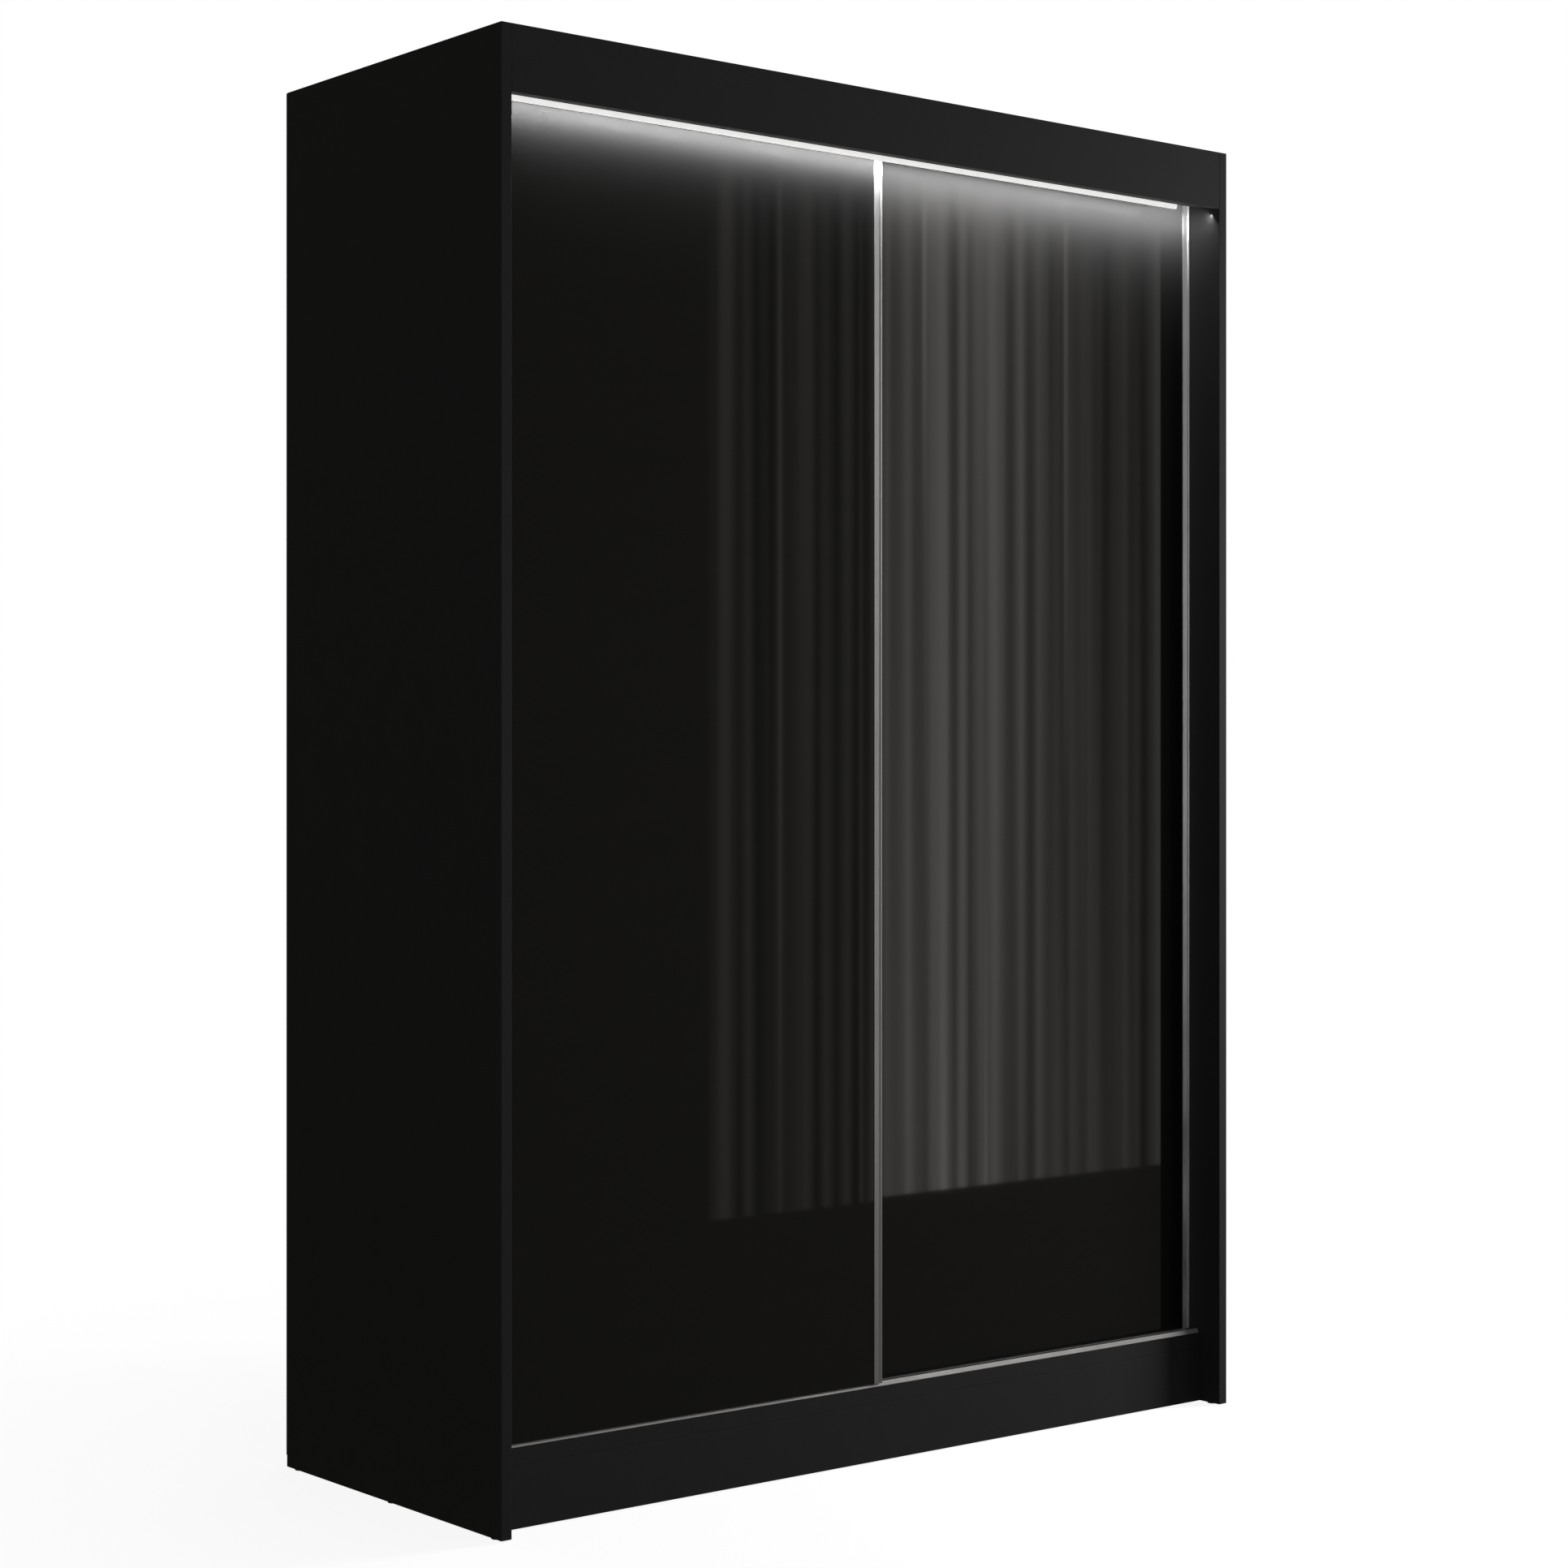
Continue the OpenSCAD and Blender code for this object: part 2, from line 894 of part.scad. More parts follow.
// Section of an edge profile, with the door's edge at x = 0 and its face at y = 0:
// a channel that grips the panel, a shallow finger groove and a rounded nose
module profile_section() {
    nose_r = 1.5;
    groove_r = 2.4;
    groove_x = -profile_w * 0.35;
    chamber = 1.4;
    slot_x = -profile_w / 2;
    difference() {
        translate([-profile_w, 0])
            square([profile_w, door_t]);
        translate([-profile_w - 1, wall_t])
            square([profile_w + 1 + slot_x, door_t - 2 * wall_t]);
        translate([slot_x + chamber, groove_r * 0.5 + 2 * chamber])
            square([-slot_x - 2 * chamber, door_t - groove_r * 0.5 - 3 * chamber]);
        translate([groove_x, -groove_r * 0.5])
            circle(r = groove_r);
        translate([-nose_r, -1])
            square([nose_r + 1, nose_r + 1]);
    }
    translate([-nose_r, nose_r])
        circle(r = nose_r);
}

// Edge profile on the door's edge that faces towards = -1 or +1, cut back at the
// foot so that it passes over the rail's lip
module door_profile(side, towards) {
    notch_y = wall_t + glass_t;
    color(ALUMINIUM)
        at_door(side)
            difference() {
                translate([towards * door_w / 2, 0, glass_bottom_z])
                    linear_extrude(door_top_z - glass_bottom_z)
                        mirror([towards == LEFT ? 1 : 0, 0])
                            profile_section();
                block([-door_w, notch_y, glass_bottom_z - 1], [door_w, door_t + 1, board_bottom_z]);
            }
}

module roller_housing() {
    slot_half_w = roller_r + 1;
    slot_side = 0.3;
    slot_y0 = roller_y - roller_w / 2 - slot_side;
    flange_step = 2.5;
    flange_z = board_bottom_z - housing_flange_t;
    difference() {
        union() {
            block(
                [-housing_w / 2, housing_y0, flange_z],
                [housing_w / 2, housing_y1, board_bottom_z + housing_h]
            );
            block(
                [-housing_flange_w / 2, housing_y0 + flange_step, flange_z],
                [housing_flange_w / 2, housing_y1, board_bottom_z]
            );
        }
        block(
            [-slot_half_w, slot_y0, flange_z - 1],
            [slot_half_w, slot_y0 + roller_w + 2 * slot_side, roller_z + roller_r + 1]
        );
        bar_y(housing_y0 - 1, housing_y1 + 1, 0, roller_z, axle_r);
    }
}

module roller_housings(side) {
    color(PLASTIC)
        at_door(side)
            for (s = SIDES)
                translate([s * (door_w / 2 - roller_inset), 0, 0])
                    roller_housing();
}

module roller_axles(side) {
    color(STEEL)
        at_door(side)
            for (s = SIDES)
                bar_y(housing_y0, housing_y1, s * (door_w / 2 - roller_inset), roller_z, axle_r);
}

// Wheel with a round groove that sits on the rail's bead
module roller(side, towards) {
    half = roller_w / 2;
    groove_r = bead_r + running_gap;
    color(NYLON)
        at_door(side)
            translate([towards * (door_w / 2 - roller_inset), roller_y, roller_z])
                rotate([-90, 0, 0])
                    rotate_extrude($fn = 96)
                        difference() {
                            translate([axle_r + axle_play, -half])
                                square([roller_r - axle_r - axle_play, roller_w]);
                            translate([running_r + groove_r, 0])
                                circle(r = groove_r, $fn = 48);
                            translate([running_r + groove_r, -groove_r])
                                square([roller_r, 2 * groove_r]);
                        }
}

// Guide housing: a base let into the door's upper edge, a flange on the edge and
// a post with a head that keeps the wheel on
module guide_housing() {
    wheel_gap = 0.3;
    shoulder_r = post_r + 1.5;
    head_t = 2;
    head_z = guide_z0 + guide_h + wheel_gap;
    y0 = guide_y - guide_base_t / 2;
    y1 = guide_y + guide_base_t / 2;
    flange_z = door_top_z + guide_flange_t;
    block([-guide_base_w / 2, y0, door_top_z - guide_base_h], [guide_base_w / 2, y1, flange_z]);
    block([-guide_flange_w / 2, y0, door_top_z], [guide_flange_w / 2, y1, flange_z]);
    bar_z(door_top_z, guide_z0 - wheel_gap, 0, guide_y, shoulder_r);
    bar_z(door_top_z, head_z + head_t, 0, guide_y, post_r);
    bar_z(head_z, head_z + head_t, 0, guide_y, shoulder_r);
}

module guide_housings(side) {
    color(PLASTIC)
        at_door(side)
            for (s = SIDES)
                translate([s * (door_w / 2 - guide_inset), 0, 0])
                    guide_housing();
}

// Top guide wheel, turning on the housing's post
module guide(side, towards) {
    rim = 1;
    color(NYLON)
        at_door(side)
            translate([towards * (door_w / 2 - guide_inset), guide_y, guide_z0])
                rotate_extrude($fn = 96)
                    polygon([
                        [post_r + axle_play, 0], [guide_r - rim, 0], [guide_r, rim],
                        [guide_r, guide_h - rim], [guide_r - rim, guide_h],
                        [post_r + axle_play, guide_h]
                    ]);
}

// Dust brush along the foot of the door board, between the roller flanges
module door_brush(side) {
    end_gap = 2;
    half_w = door_w / 2 - roller_inset - housing_flange_w / 2 - end_gap;
    strip_y = 10;
    strip_t = 1.5;
    bristle_y = 17;
    bristle_t = 1.5;
    bristle_gap = 0.8;
    strip_z = board_bottom_z - strip_t;
    bristle_z = floor_z + rail_base_t + bristle_gap;
    color(PLASTIC)
        at_door(side) {
            block([-half_w, strip_y, strip_z], [half_w, door_t - wall_t, board_bottom_z]);
            block([-half_w, bristle_y, bristle_z], [half_w, bristle_y + bristle_t, strip_z]);
        }
}

// Screws through the housings' flanges into the door board's edges
module door_screws(side) {
    screw = 20;
    screw_inset = 8;
    roller_dx = housing_flange_w / 2 - screw_inset;
    guide_dx = guide_flange_w / 2 - screw_inset;
    color(STEEL)
        at_door(side)
            for (s = SIDES, t = SIDES) {
                translate([s * (door_w / 2 - roller_inset) + t * roller_dx, roller_y, 0])
                    translate([0, 0, board_bottom_z - housing_flange_t])
                        mirror([0, 0, 1])
                            wood_screw(screw);
                translate([s * (door_w / 2 - guide_inset) + t * guide_dx, guide_y, 0])
                    translate([0, 0, door_top_z + guide_flange_t])
                        wood_screw(screw);
            }
}

side_panel_left();
side_panel_right();
top_panel();
bottom_panel();
centre_divider();
fascia();
plinth_front();
plinth_rear();
plinth_braces();
back_panel(LEFT);  // back_sheet_left
back_panel(RIGHT);  // back_sheet_right
hat_shelf();
shelf(1);  // shelf_1
shelf(2);  // shelf_2
shelf(3);  // shelf_3
shelf(4);  // shelf_4
hanging_rail();
rail_flanges();
cam_locks();
cam_bolts();
dowels();
shelf_pins();
back_nails();
carcass_screws();
wall_brackets();
floor_glides();
top_track();
bottom_track();
door_stops();
led_channel();
led_diffuser();
led_tape();
led_end_caps();
led_driver();
door_board(LEFT);  // left_door_board
door_glass(LEFT);  // left_door_glass
door_profile(LEFT, LEFT);  // left_door_profile_outer
door_profile(LEFT, RIGHT);  // left_door_profile_meeting
roller_housings(LEFT);  // left_door_roller_housings
roller_axles(LEFT);  // left_door_roller_axles
guide_housings(LEFT);  // left_door_guide_housings
door_brush(LEFT);  // left_door_brush
door_screws(LEFT);  // left_door_screws
roller(LEFT, LEFT);  // left_roller_outer
roller(LEFT, RIGHT);  // left_roller_inner
guide(LEFT, LEFT);  // left_guide_outer
guide(LEFT, RIGHT);  // left_guide_inner
door_board(RIGHT);  // right_door_board
door_glass(RIGHT);  // right_door_glass
door_profile(RIGHT, RIGHT);  // right_door_profile_outer
door_profile(RIGHT, LEFT);  // right_door_profile_meeting
roller_housings(RIGHT);  // right_door_roller_housings
roller_axles(RIGHT);  // right_door_roller_axles
guide_housings(RIGHT);  // right_door_guide_housings
door_brush(RIGHT);  // right_door_brush
door_screws(RIGHT);  // right_door_screws
roller(RIGHT, RIGHT);  // right_roller_outer
roller(RIGHT, LEFT);  // right_roller_inner
guide(RIGHT, RIGHT);  // right_guide_outer
guide(RIGHT, LEFT);  // right_guide_inner
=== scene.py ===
# Looks of a sliding door wardrobe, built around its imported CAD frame. Metres, +Z up.
# New pieces are surfaces worked out with numpy: boxes with rounded edges, outlines
# carried along a straight line, and outlines turned round an axis.
import json
import math

import bpy
import numpy as np
from bpy.props import FloatProperty, FloatVectorProperty, IntProperty, PointerProperty
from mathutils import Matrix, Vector
from mathutils.geometry import tessellate_polygon

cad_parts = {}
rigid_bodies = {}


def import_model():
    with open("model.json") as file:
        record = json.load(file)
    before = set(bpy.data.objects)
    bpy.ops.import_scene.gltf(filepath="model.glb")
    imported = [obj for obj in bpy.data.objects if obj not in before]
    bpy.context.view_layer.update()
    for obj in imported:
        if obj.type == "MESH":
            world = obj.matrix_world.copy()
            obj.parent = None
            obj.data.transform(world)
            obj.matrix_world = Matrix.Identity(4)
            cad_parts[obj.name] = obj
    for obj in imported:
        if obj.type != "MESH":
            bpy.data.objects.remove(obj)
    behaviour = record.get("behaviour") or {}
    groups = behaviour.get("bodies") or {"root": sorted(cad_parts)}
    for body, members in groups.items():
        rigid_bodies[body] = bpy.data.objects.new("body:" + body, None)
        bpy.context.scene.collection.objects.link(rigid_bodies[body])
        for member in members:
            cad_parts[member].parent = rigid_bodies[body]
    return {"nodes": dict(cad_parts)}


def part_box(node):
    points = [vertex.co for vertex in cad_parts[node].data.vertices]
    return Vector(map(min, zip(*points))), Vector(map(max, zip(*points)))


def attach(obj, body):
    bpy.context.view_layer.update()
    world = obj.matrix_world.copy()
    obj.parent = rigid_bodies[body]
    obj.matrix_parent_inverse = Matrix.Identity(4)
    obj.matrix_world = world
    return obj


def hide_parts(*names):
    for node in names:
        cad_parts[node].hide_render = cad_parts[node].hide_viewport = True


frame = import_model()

bl_info = {
    "name": "Sliding Door Wardrobe",
    "version": (1, 0, 0),
    "blender": (4, 5, 0),
    "location": "View3D > Sidebar > Wardrobe",
    "description": "Builds the pieces, finishes and studio of a wardrobe with two sliding glass doors",
    "category": "Object",
}

MM = 0.001
X, Y, Z = 0, 1, 2
SIDES = ("left", "right")
QUARTER = math.pi / 2
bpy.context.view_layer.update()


def box(node):
    """Lowest and highest corner of a CAD node, as arrays."""
    low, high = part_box(node)
    return np.array(low), np.array(high)


def mid(node):
    """Middle of a CAD node's box."""
    low, high = box(node)
    return (low + high) / 2


# ---------- surfaces ----------


class Surface:
    """Points (n x 3), four-cornered and three-cornered faces, and values kept per point."""

    def __init__(self, points, quads=(), triangles=(), **values):
        self.points = np.asarray(points, float).reshape(-1, 3)
        self.quads = np.asarray(quads, int).reshape(-1, 4)
        self.triangles = np.asarray(triangles, int).reshape(-1, 3)
        self.values = values

    def merged(self, nearest=1e-7):
        """The same surface with points that coincide made one; a quad that loses a corner
        becomes a triangle."""
        keys = np.round(self.points / nearest).astype(np.int64)
        _, first, place = np.unique(keys, axis=0, return_index=True, return_inverse=True)
        place = place.reshape(-1)
        quads, triangles = place[self.quads], place[self.triangles]
        same = quads == np.roll(quads, -1, 1)
        lost = same.sum(1)
        rest = quads[lost == 1]
        gap = same[lost == 1].argmax(1)
        columns = (gap[:, None] + np.array([1, 2, 3])) % 4
        kept = np.take_along_axis(rest, columns, 1)
        values = {name: v[first] for name, v in self.values.items()}
        return Surface(self.points[first], quads[lost == 0], np.vstack([triangles, kept]), **values)


def joined(surfaces):
    """One surface that holds all the given ones."""
    starts = np.cumsum([0] + [len(s.points) for s in surfaces])
    names = set.intersection(*[set(s.values) for s in surfaces])
    return Surface(
        np.vstack([s.points for s in surfaces]),
        np.vstack([s.quads + start for s, start in zip(surfaces, starts)]),
        np.vstack([s.triangles + start for s, start in zip(surfaces, starts)]),
        **{name: np.concatenate([s.values[name] for s in surfaces]) for name in sorted(names)},
    )


def repeated(surface, offsets):
    """The surface once at each offset: every copy is the points plus its offset."""
    offsets = np.asarray(offsets, float).reshape(-1, 3)
    count, size = len(offsets), len(surface.points)
    steps = np.arange(count)[:, None, None] * size
    return Surface(
        (surface.points[None] + offsets[:, None]).reshape(-1, 3),
        (surface.quads[None] + steps).reshape(-1, 4),
        (surface.triangles[None] + steps).reshape(-1, 3),
        **{name: np.tile(v, count) for name, v in surface.values.items()},
    )


def grid_quads(rows, columns, close_rows=False, close_columns=False):
    """Faces of a grid of points numbered row by row; a closed direction joins its last line
    to its first."""
    r = np.arange(rows if close_rows else rows - 1)[:, None]
    c = np.arange(columns if close_columns else columns - 1)[None, :]
    r1, c1 = (r + 1) % rows, (c + 1) % columns
    corners = [r * columns + c, r1 * columns + c, r1 * columns + c1, r * columns + c1]
    return np.stack(np.broadcast_arrays(*corners), -1).reshape(-1, 4)


def rounded_box(low, high, radius, steps=2):
    """Box with rounded edges. The points of a grid on the sharp box are clamped to an inner
    box, smaller by the radius, and pushed out from there by the radius. The value rim is 0
    on the flat faces and 1 along the middle of a rounded edge."""
    low, high = np.asarray(low, float), np.asarray(high, float)
    inner_low, inner_high = low + radius, high - radius
    reach = radius * np.tan(np.linspace(math.pi / 4, 0, steps + 1))
    ticks = [np.concatenate([a - reach, b + reach[::-1]]) for a, b in zip(inner_low, inner_high)]
    sides = []
    for axis in (X, Y, Z):
        across, along = (axis + 1) % 3, (axis + 2) % 3
        u, v = np.meshgrid(ticks[across], ticks[along], indexing="ij")
        quads = grid_quads(*u.shape)
        for level, faces in ((high[axis], quads), (low[axis], quads[:, ::-1])):
            points = np.empty((u.size, 3))
            points[:, axis], points[:, across], points[:, along] = level, u.ravel(), v.ravel()
            core = np.clip(points, inner_low, inner_high)
            out = points - core
            out /= np.linalg.norm(out, axis=1)[:, None]
            rim = (1 - np.abs(out).max(1)) / (1 - math.sqrt(0.5))
            sides.append(Surface(core + radius * out, faces, rim=rim.clip(0, 1)))
    return joined(sides).merged()


def arc(centre, radius, start, stop, steps=8):
    """Points on a circle from one angle to another, both ends included."""
    angles = np.linspace(start, stop, steps + 1)
    return np.asarray(centre) + radius * np.stack([np.cos(angles), np.sin(angles)], -1)


def eased(corners, radius, steps=3):
    """Closed outline with rounded corners: each corner gives way to an arc that touches both
    of its edges. The radius is one number, or one for each corner."""
    corners = np.asarray(corners, float)
    radius = np.broadcast_to(np.asarray(radius, float), len(corners))[:, None]
    back, on = np.roll(corners, 1, 0) - corners, np.roll(corners, -1, 0) - corners
    back /= np.linalg.norm(back, axis=1)[:, None]
    on /= np.linalg.norm(on, axis=1)[:, None]
    half = np.arccos(np.clip((back * on).sum(1), -1, 1))[:, None] / 2
    inward = (back + on) / np.linalg.norm(back + on, axis=1)[:, None]
    centre = corners + inward * radius / np.sin(half)
    first = corners + back * radius / np.tan(half) - centre
    last = corners + on * radius / np.tan(half) - centre
    begin = np.arctan2(first[:, 1], first[:, 0])
    turn = (np.arctan2(last[:, 1], last[:, 0]) - begin + math.pi) % (2 * math.pi) - math.pi
    angles = begin[:, None] + turn[:, None] * np.linspace(0, 1, steps + 1)
    points = centre[:, None] + radius[:, None] * np.stack([np.cos(angles), np.sin(angles)], -1)
    points = points.reshape(-1, 2)
    apart = np.linalg.norm(points - np.roll(points, 1, 0), axis=1) > 1e-7
    return points[apart]


def turned_left(outline):
    """The outline in anticlockwise order."""
    x, y = outline.T
    return outline if (x * np.roll(y, -1) - np.roll(x, -1) * y).sum() > 0 else outline[::-1]


def carried(outline, start, stop, axis, holes=()):
    """Closed outline carried straight along an axis, with flat ends: a point is an outline
    point at a distance between start and stop. The outline lies in the plane of the two
    other axes, in their order after the axis. Holes are outlines cut out of it."""
    loops = [turned_left(outline)] + [turned_left(hole)[::-1] for hole in holes]
    flat = np.vstack(loops)
    count = len(flat)
    ends = np.empty((2, count, 3))
    for end, level in zip(ends, (start, stop)):
        end[:, axis] = level
        end[:, (axis + 1) % 3], end[:, (axis + 2) % 3] = flat.T
    sides, first = [], 0
    for loop in loops:
        here = first + np.arange(len(loop))
        after = first + (np.arange(len(loop)) + 1) % len(loop)
        sides.append(np.stack([here, after, after + count, here + count], -1))
        first += len(loop)
    caps = np.array(tessellate_polygon([[(*p, 0) for p in loop] for loop in loops]))
    a, b, c = flat[caps[:, 0]], flat[caps[:, 1]], flat[caps[:, 2]]
    wrong = np.cross(b - a, c - a) < 0
    caps[wrong] = caps[wrong][:, ::-1]
    return Surface(ends.reshape(-1, 3), np.vstack(sides), np.vstack([caps[:, ::-1], caps + count]))


def turned(profile, centre, axis, around=48, ring=True, lift=None):
    """Profile turned round an axis through a centre: a point is the radius along a direction
    that goes round the axis, plus the height along it. A ring's profile is closed; any other
    starts and ends on the axis. lift(angle, radius, height) may move heights."""
    profile = np.asarray(profile, float)
    angle = np.arange(around) * 2 * math.pi / around
    radius, height = np.meshgrid(profile[:, 0], angle)[0], np.meshgrid(profile[:, 1], angle)[0]
    turns = np.broadcast_to(angle[:, None], radius.shape)
    if lift:
        height = lift(turns, radius, height)
    points = np.empty((radius.size, 3))
    points[:, axis] = height.ravel()
    points[:, (axis + 1) % 3] = (radius * np.cos(turns)).ravel()
    points[:, (axis + 2) % 3] = (radius * np.sin(turns)).ravel()
    quads = grid_quads(around, len(profile), close_rows=True, close_columns=ring)
    return Surface(points + np.asarray(centre), quads).merged()


def corner_normals(surface, crease):
    """Normal of each face corner: the sum of the normals of the faces round its point, each
    times its area, without the faces that turn away by more than the crease angle."""
    p = surface.points
    crossed = np.vstack([
        np.cross(p[f[:, 2]] - p[f[:, 0]], p[f[:, -1]] - p[f[:, 1]])
        for f in (surface.quads, surface.triangles)
    ])
    straight = crossed / np.linalg.norm(crossed, axis=1)[:, None].clip(1e-15)
    corners = np.concatenate([surface.quads.ravel(), surface.triangles.ravel()])
    face = np.concatenate([
        np.repeat(np.arange(len(surface.quads)), 4),
        np.repeat(len(surface.quads) + np.arange(len(surface.triangles)), 3),
    ])
    around = face[np.argsort(corners, kind="stable")]
    count = np.bincount(corners, minlength=len(p))
    start = np.cumsum(count) - count
    total = np.zeros((len(corners), 3))
    for k in range(count.max()):
        other = around[np.minimum(start[corners] + k, len(around) - 1)]
        turn = (straight[face] * straight[other]).sum(1)
        near = (k < count[corners]) & (turn > math.cos(crease))
        total[near] += crossed[other[near]]
    return total / np.linalg.norm(total, axis=1)[:, None].clip(1e-15)


def mesh_of(name, surface):
    """Mesh with the surface's points and faces."""
    mesh = bpy.data.meshes.new(name)
    faces = surface.quads.tolist() + surface.triangles.tolist()
    mesh.from_pydata(surface.points.tolist(), [], faces)
    return mesh


def make_piece(name, surface, material, body, stands_for, crease=math.radians(35)):
    """Puts a surface into a new object that rides on a body and stands for CAD nodes."""
    mesh = mesh_of(name, surface)
    for label, values in surface.values.items():
        attribute = mesh.attributes.new(label, "FLOAT", "POINT")
        attribute.data.foreach_set("value", np.asarray(values, np.float32))
    mesh.polygons.foreach_set("use_smooth", np.ones(len(mesh.polygons), bool))
    mesh.normals_split_custom_set(corner_normals(surface, crease))
    mesh.materials.append(material)
    piece = bpy.data.objects.new(name, mesh)
    bpy.context.scene.collection.objects.link(piece)
    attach(piece, body)
    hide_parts(*stands_for)
    return piece


def finish_node(node, material, edge=0.0):
    """Gives a carried-over CAD node its material and, where edge is over 0, rounds its edges."""
    piece = frame["nodes"][node]
    piece.data.materials.clear()
    piece.data.materials.append(material)
    if edge:
        weld = piece.modifiers.new("weld", "WELD")
        weld.merge_threshold = 0.01 * MM
        flat = piece.modifiers.new("flat_faces", "DECIMATE")
        flat.decimate_type = "DISSOLVE"
        flat.angle_limit = math.radians(1)
        bevel = piece.modifiers.new("eased_edges", "BEVEL")
        bevel.width = edge
        bevel.segments = 2
        bevel.limit_method = "ANGLE"
        bevel.angle_limit = math.radians(50)
        bevel.use_clamp_overlap = True
        bevel.harden_normals = True
    return piece


# ---------- shader nodes ----------


def put(tree, kind, inputs=None, **settings):
    """Adds a node with its settings. An input is a number, a colour or another node's socket."""
    node = tree.nodes.new(kind)
    for name, value in settings.items():
        setattr(node, name, value)
    for name, value in (inputs or {}).items():
        if isinstance(value, bpy.types.NodeSocket):
            tree.links.new(value, node.inputs[name])
        else:
            node.inputs[name].default_value = value
    return node


def maths(tree, operation, a, b=0.0, clamp=False):
    """A Math node's result."""
    node = put(tree, "ShaderNodeMath", {0: a, 1: b}, operation=operation, use_clamp=clamp)
    return node.outputs[0]


def ranged(tree, value, low, high, from_low=0.0, from_high=1.0):
    """A value that changes over the surface, mapped from one range to another."""
    inputs = {"Value": value, "From Min": from_low, "From Max": from_high, "To Min": low, "To Max": high}
    return put(tree, "ShaderNodeMapRange", inputs).outputs["Result"]


def blended(tree, mask, first, second):
    """Colour that goes from the first to the second as the mask goes from 0 to 1."""
    node = put(tree, "ShaderNodeMix", {0: mask, 6: first, 7: second}, data_type="RGBA")
    return node.outputs[2]


def rgba(colour, gain=1.0):
    """Four numbers of a colour, made lighter or darker by a gain."""
    return (*[min(1.0, c * gain) for c in colour[:3]], 1.0)


def group(name, inputs, outputs, fill):
    """Shader node group, built once. Inputs are (name, socket type, default), and outputs
    (name, socket type)."""
    tree = bpy.data.node_groups.get(name)
    if tree:
        return tree
    tree = bpy.data.node_groups.new(name, "ShaderNodeTree")
    for label, kind, default in inputs:
        socket = tree.interface.new_socket(label, in_out="INPUT", socket_type=kind)
        socket.default_value = default
    for label, kind in outputs:
        tree.interface.new_socket(label, in_out="OUTPUT", socket_type=kind)
    entry, leave = tree.nodes.new("NodeGroupInput"), tree.nodes.new("NodeGroupOutput")
    for label, socket in fill(tree, entry.outputs).items():
        tree.links.new(socket, leave.inputs[label])
    return tree


NUMBER, VECTOR = "NodeSocketFloat", "NodeSocketVector"


def mottle_group():
    """Value and height from three noises: broad cloudiness, a middle one and a fine grain."""

    def fill(tree, given):
        where = put(tree, "ShaderNodeTexCoord").outputs["Object"]
        noises = []
        for factor, detail in ((1, 3.0), (9, 2.0), (70, 2.0)):
            scale = maths(tree, "MULTIPLY", given["Scale"], factor)
            noise = put(tree, "ShaderNodeTexNoise", {"Vector": where, "Scale": scale, "Detail": detail})
            noises.append(noise.outputs["Fac"])
        cloud, middle, fine = noises
        broad = maths(tree, "MULTIPLY", cloud, 0.6)
        value = maths(tree, "ADD", broad, maths(tree, "MULTIPLY", middle, 0.4))
        height = maths(tree, "ADD", maths(tree, "MULTIPLY", middle, 0.25), fine)
        return {"Value": value, "Height": height}

    inputs = [("Scale", NUMBER, 10.0)]
    return group("mottle", inputs, [("Value", NUMBER), ("Height", NUMBER)], fill)


def grain_group():
    """Streaks of a brushed or drawn metal: noise that is squeezed across the grain. Stretch
    holds the scales along X, Y and Z."""

    def fill(tree, given):
        where = put(tree, "ShaderNodeTexCoord").outputs["Object"]
        stretched = put(tree, "ShaderNodeVectorMath", {0: where, 1: given["Stretch"]}, operation="MULTIPLY")
        place = stretched.outputs["Vector"]
        wide = put(tree, "ShaderNodeTexNoise", {"Vector": place, "Scale": 1.0, "Detail": 3.0})
        fine = put(tree, "ShaderNodeTexNoise", {"Vector": place, "Scale": 6.0, "Detail": 2.0})
        return {"Value": wide.outputs["Fac"], "Height": fine.outputs["Fac"]}

    inputs = [("Stretch", VECTOR, (900.0, 900.0, 12.0))]
    return group("grain", inputs, [("Value", NUMBER), ("Height", NUMBER)], fill)


def rim_patch_group():
    """Mask along the rounded edges: the rim value, broken up by noise. It places darker grime on the wheels
    and, on the melamine, paler edges that are partly wear and partly a painted highlight.
    """

    def fill(tree, given):
        where = put(tree, "ShaderNodeTexCoord").outputs["Object"]
        rim = put(tree, "ShaderNodeAttribute", attribute_name="rim").outputs["Fac"]
        noise = put(tree, "ShaderNodeTexNoise", {"Vector": where, "Scale": given["Scale"], "Detail": 4.0})
        patch = ranged(tree, noise.outputs["Fac"], 0.0, 1.0, 0.42, 0.62)
        mask = maths(tree, "MULTIPLY", maths(tree, "MULTIPLY", rim, patch), given["Amount"], clamp=True)
        return {"Mask": mask}

    inputs = [("Amount", NUMBER, 0.5), ("Scale", NUMBER, 40.0)]
    return group("rim_patches", inputs, [("Mask", NUMBER)], fill)


def dust_group():
    """Mask of dust that settles on faces that look up, thinner where noise is low."""

    def fill(tree, given):
        where = put(tree, "ShaderNodeTexCoord").outputs["Object"]
        normal = put(tree, "ShaderNodeNewGeometry").outputs["Normal"]
        up = put(tree, "ShaderNodeSeparateXYZ", {"Vector": normal}).outputs["Z"]
        facing = ranged(tree, up, 0.0, 1.0, 0.6, 1.0)
        noise = put(tree, "ShaderNodeTexNoise", {"Vector": where, "Scale": 14.0, "Detail": 5.0})
        patch = ranged(tree, noise.outputs["Fac"], 0.3, 1.0, 0.35, 0.7)
        mask = maths(tree, "MULTIPLY", maths(tree, "MULTIPLY", facing, patch), given["Amount"], clamp=True)
        return {"Mask": mask}

    return group("settled_dust", [("Amount", NUMBER, 0.2)], [("Mask", NUMBER)], fill)


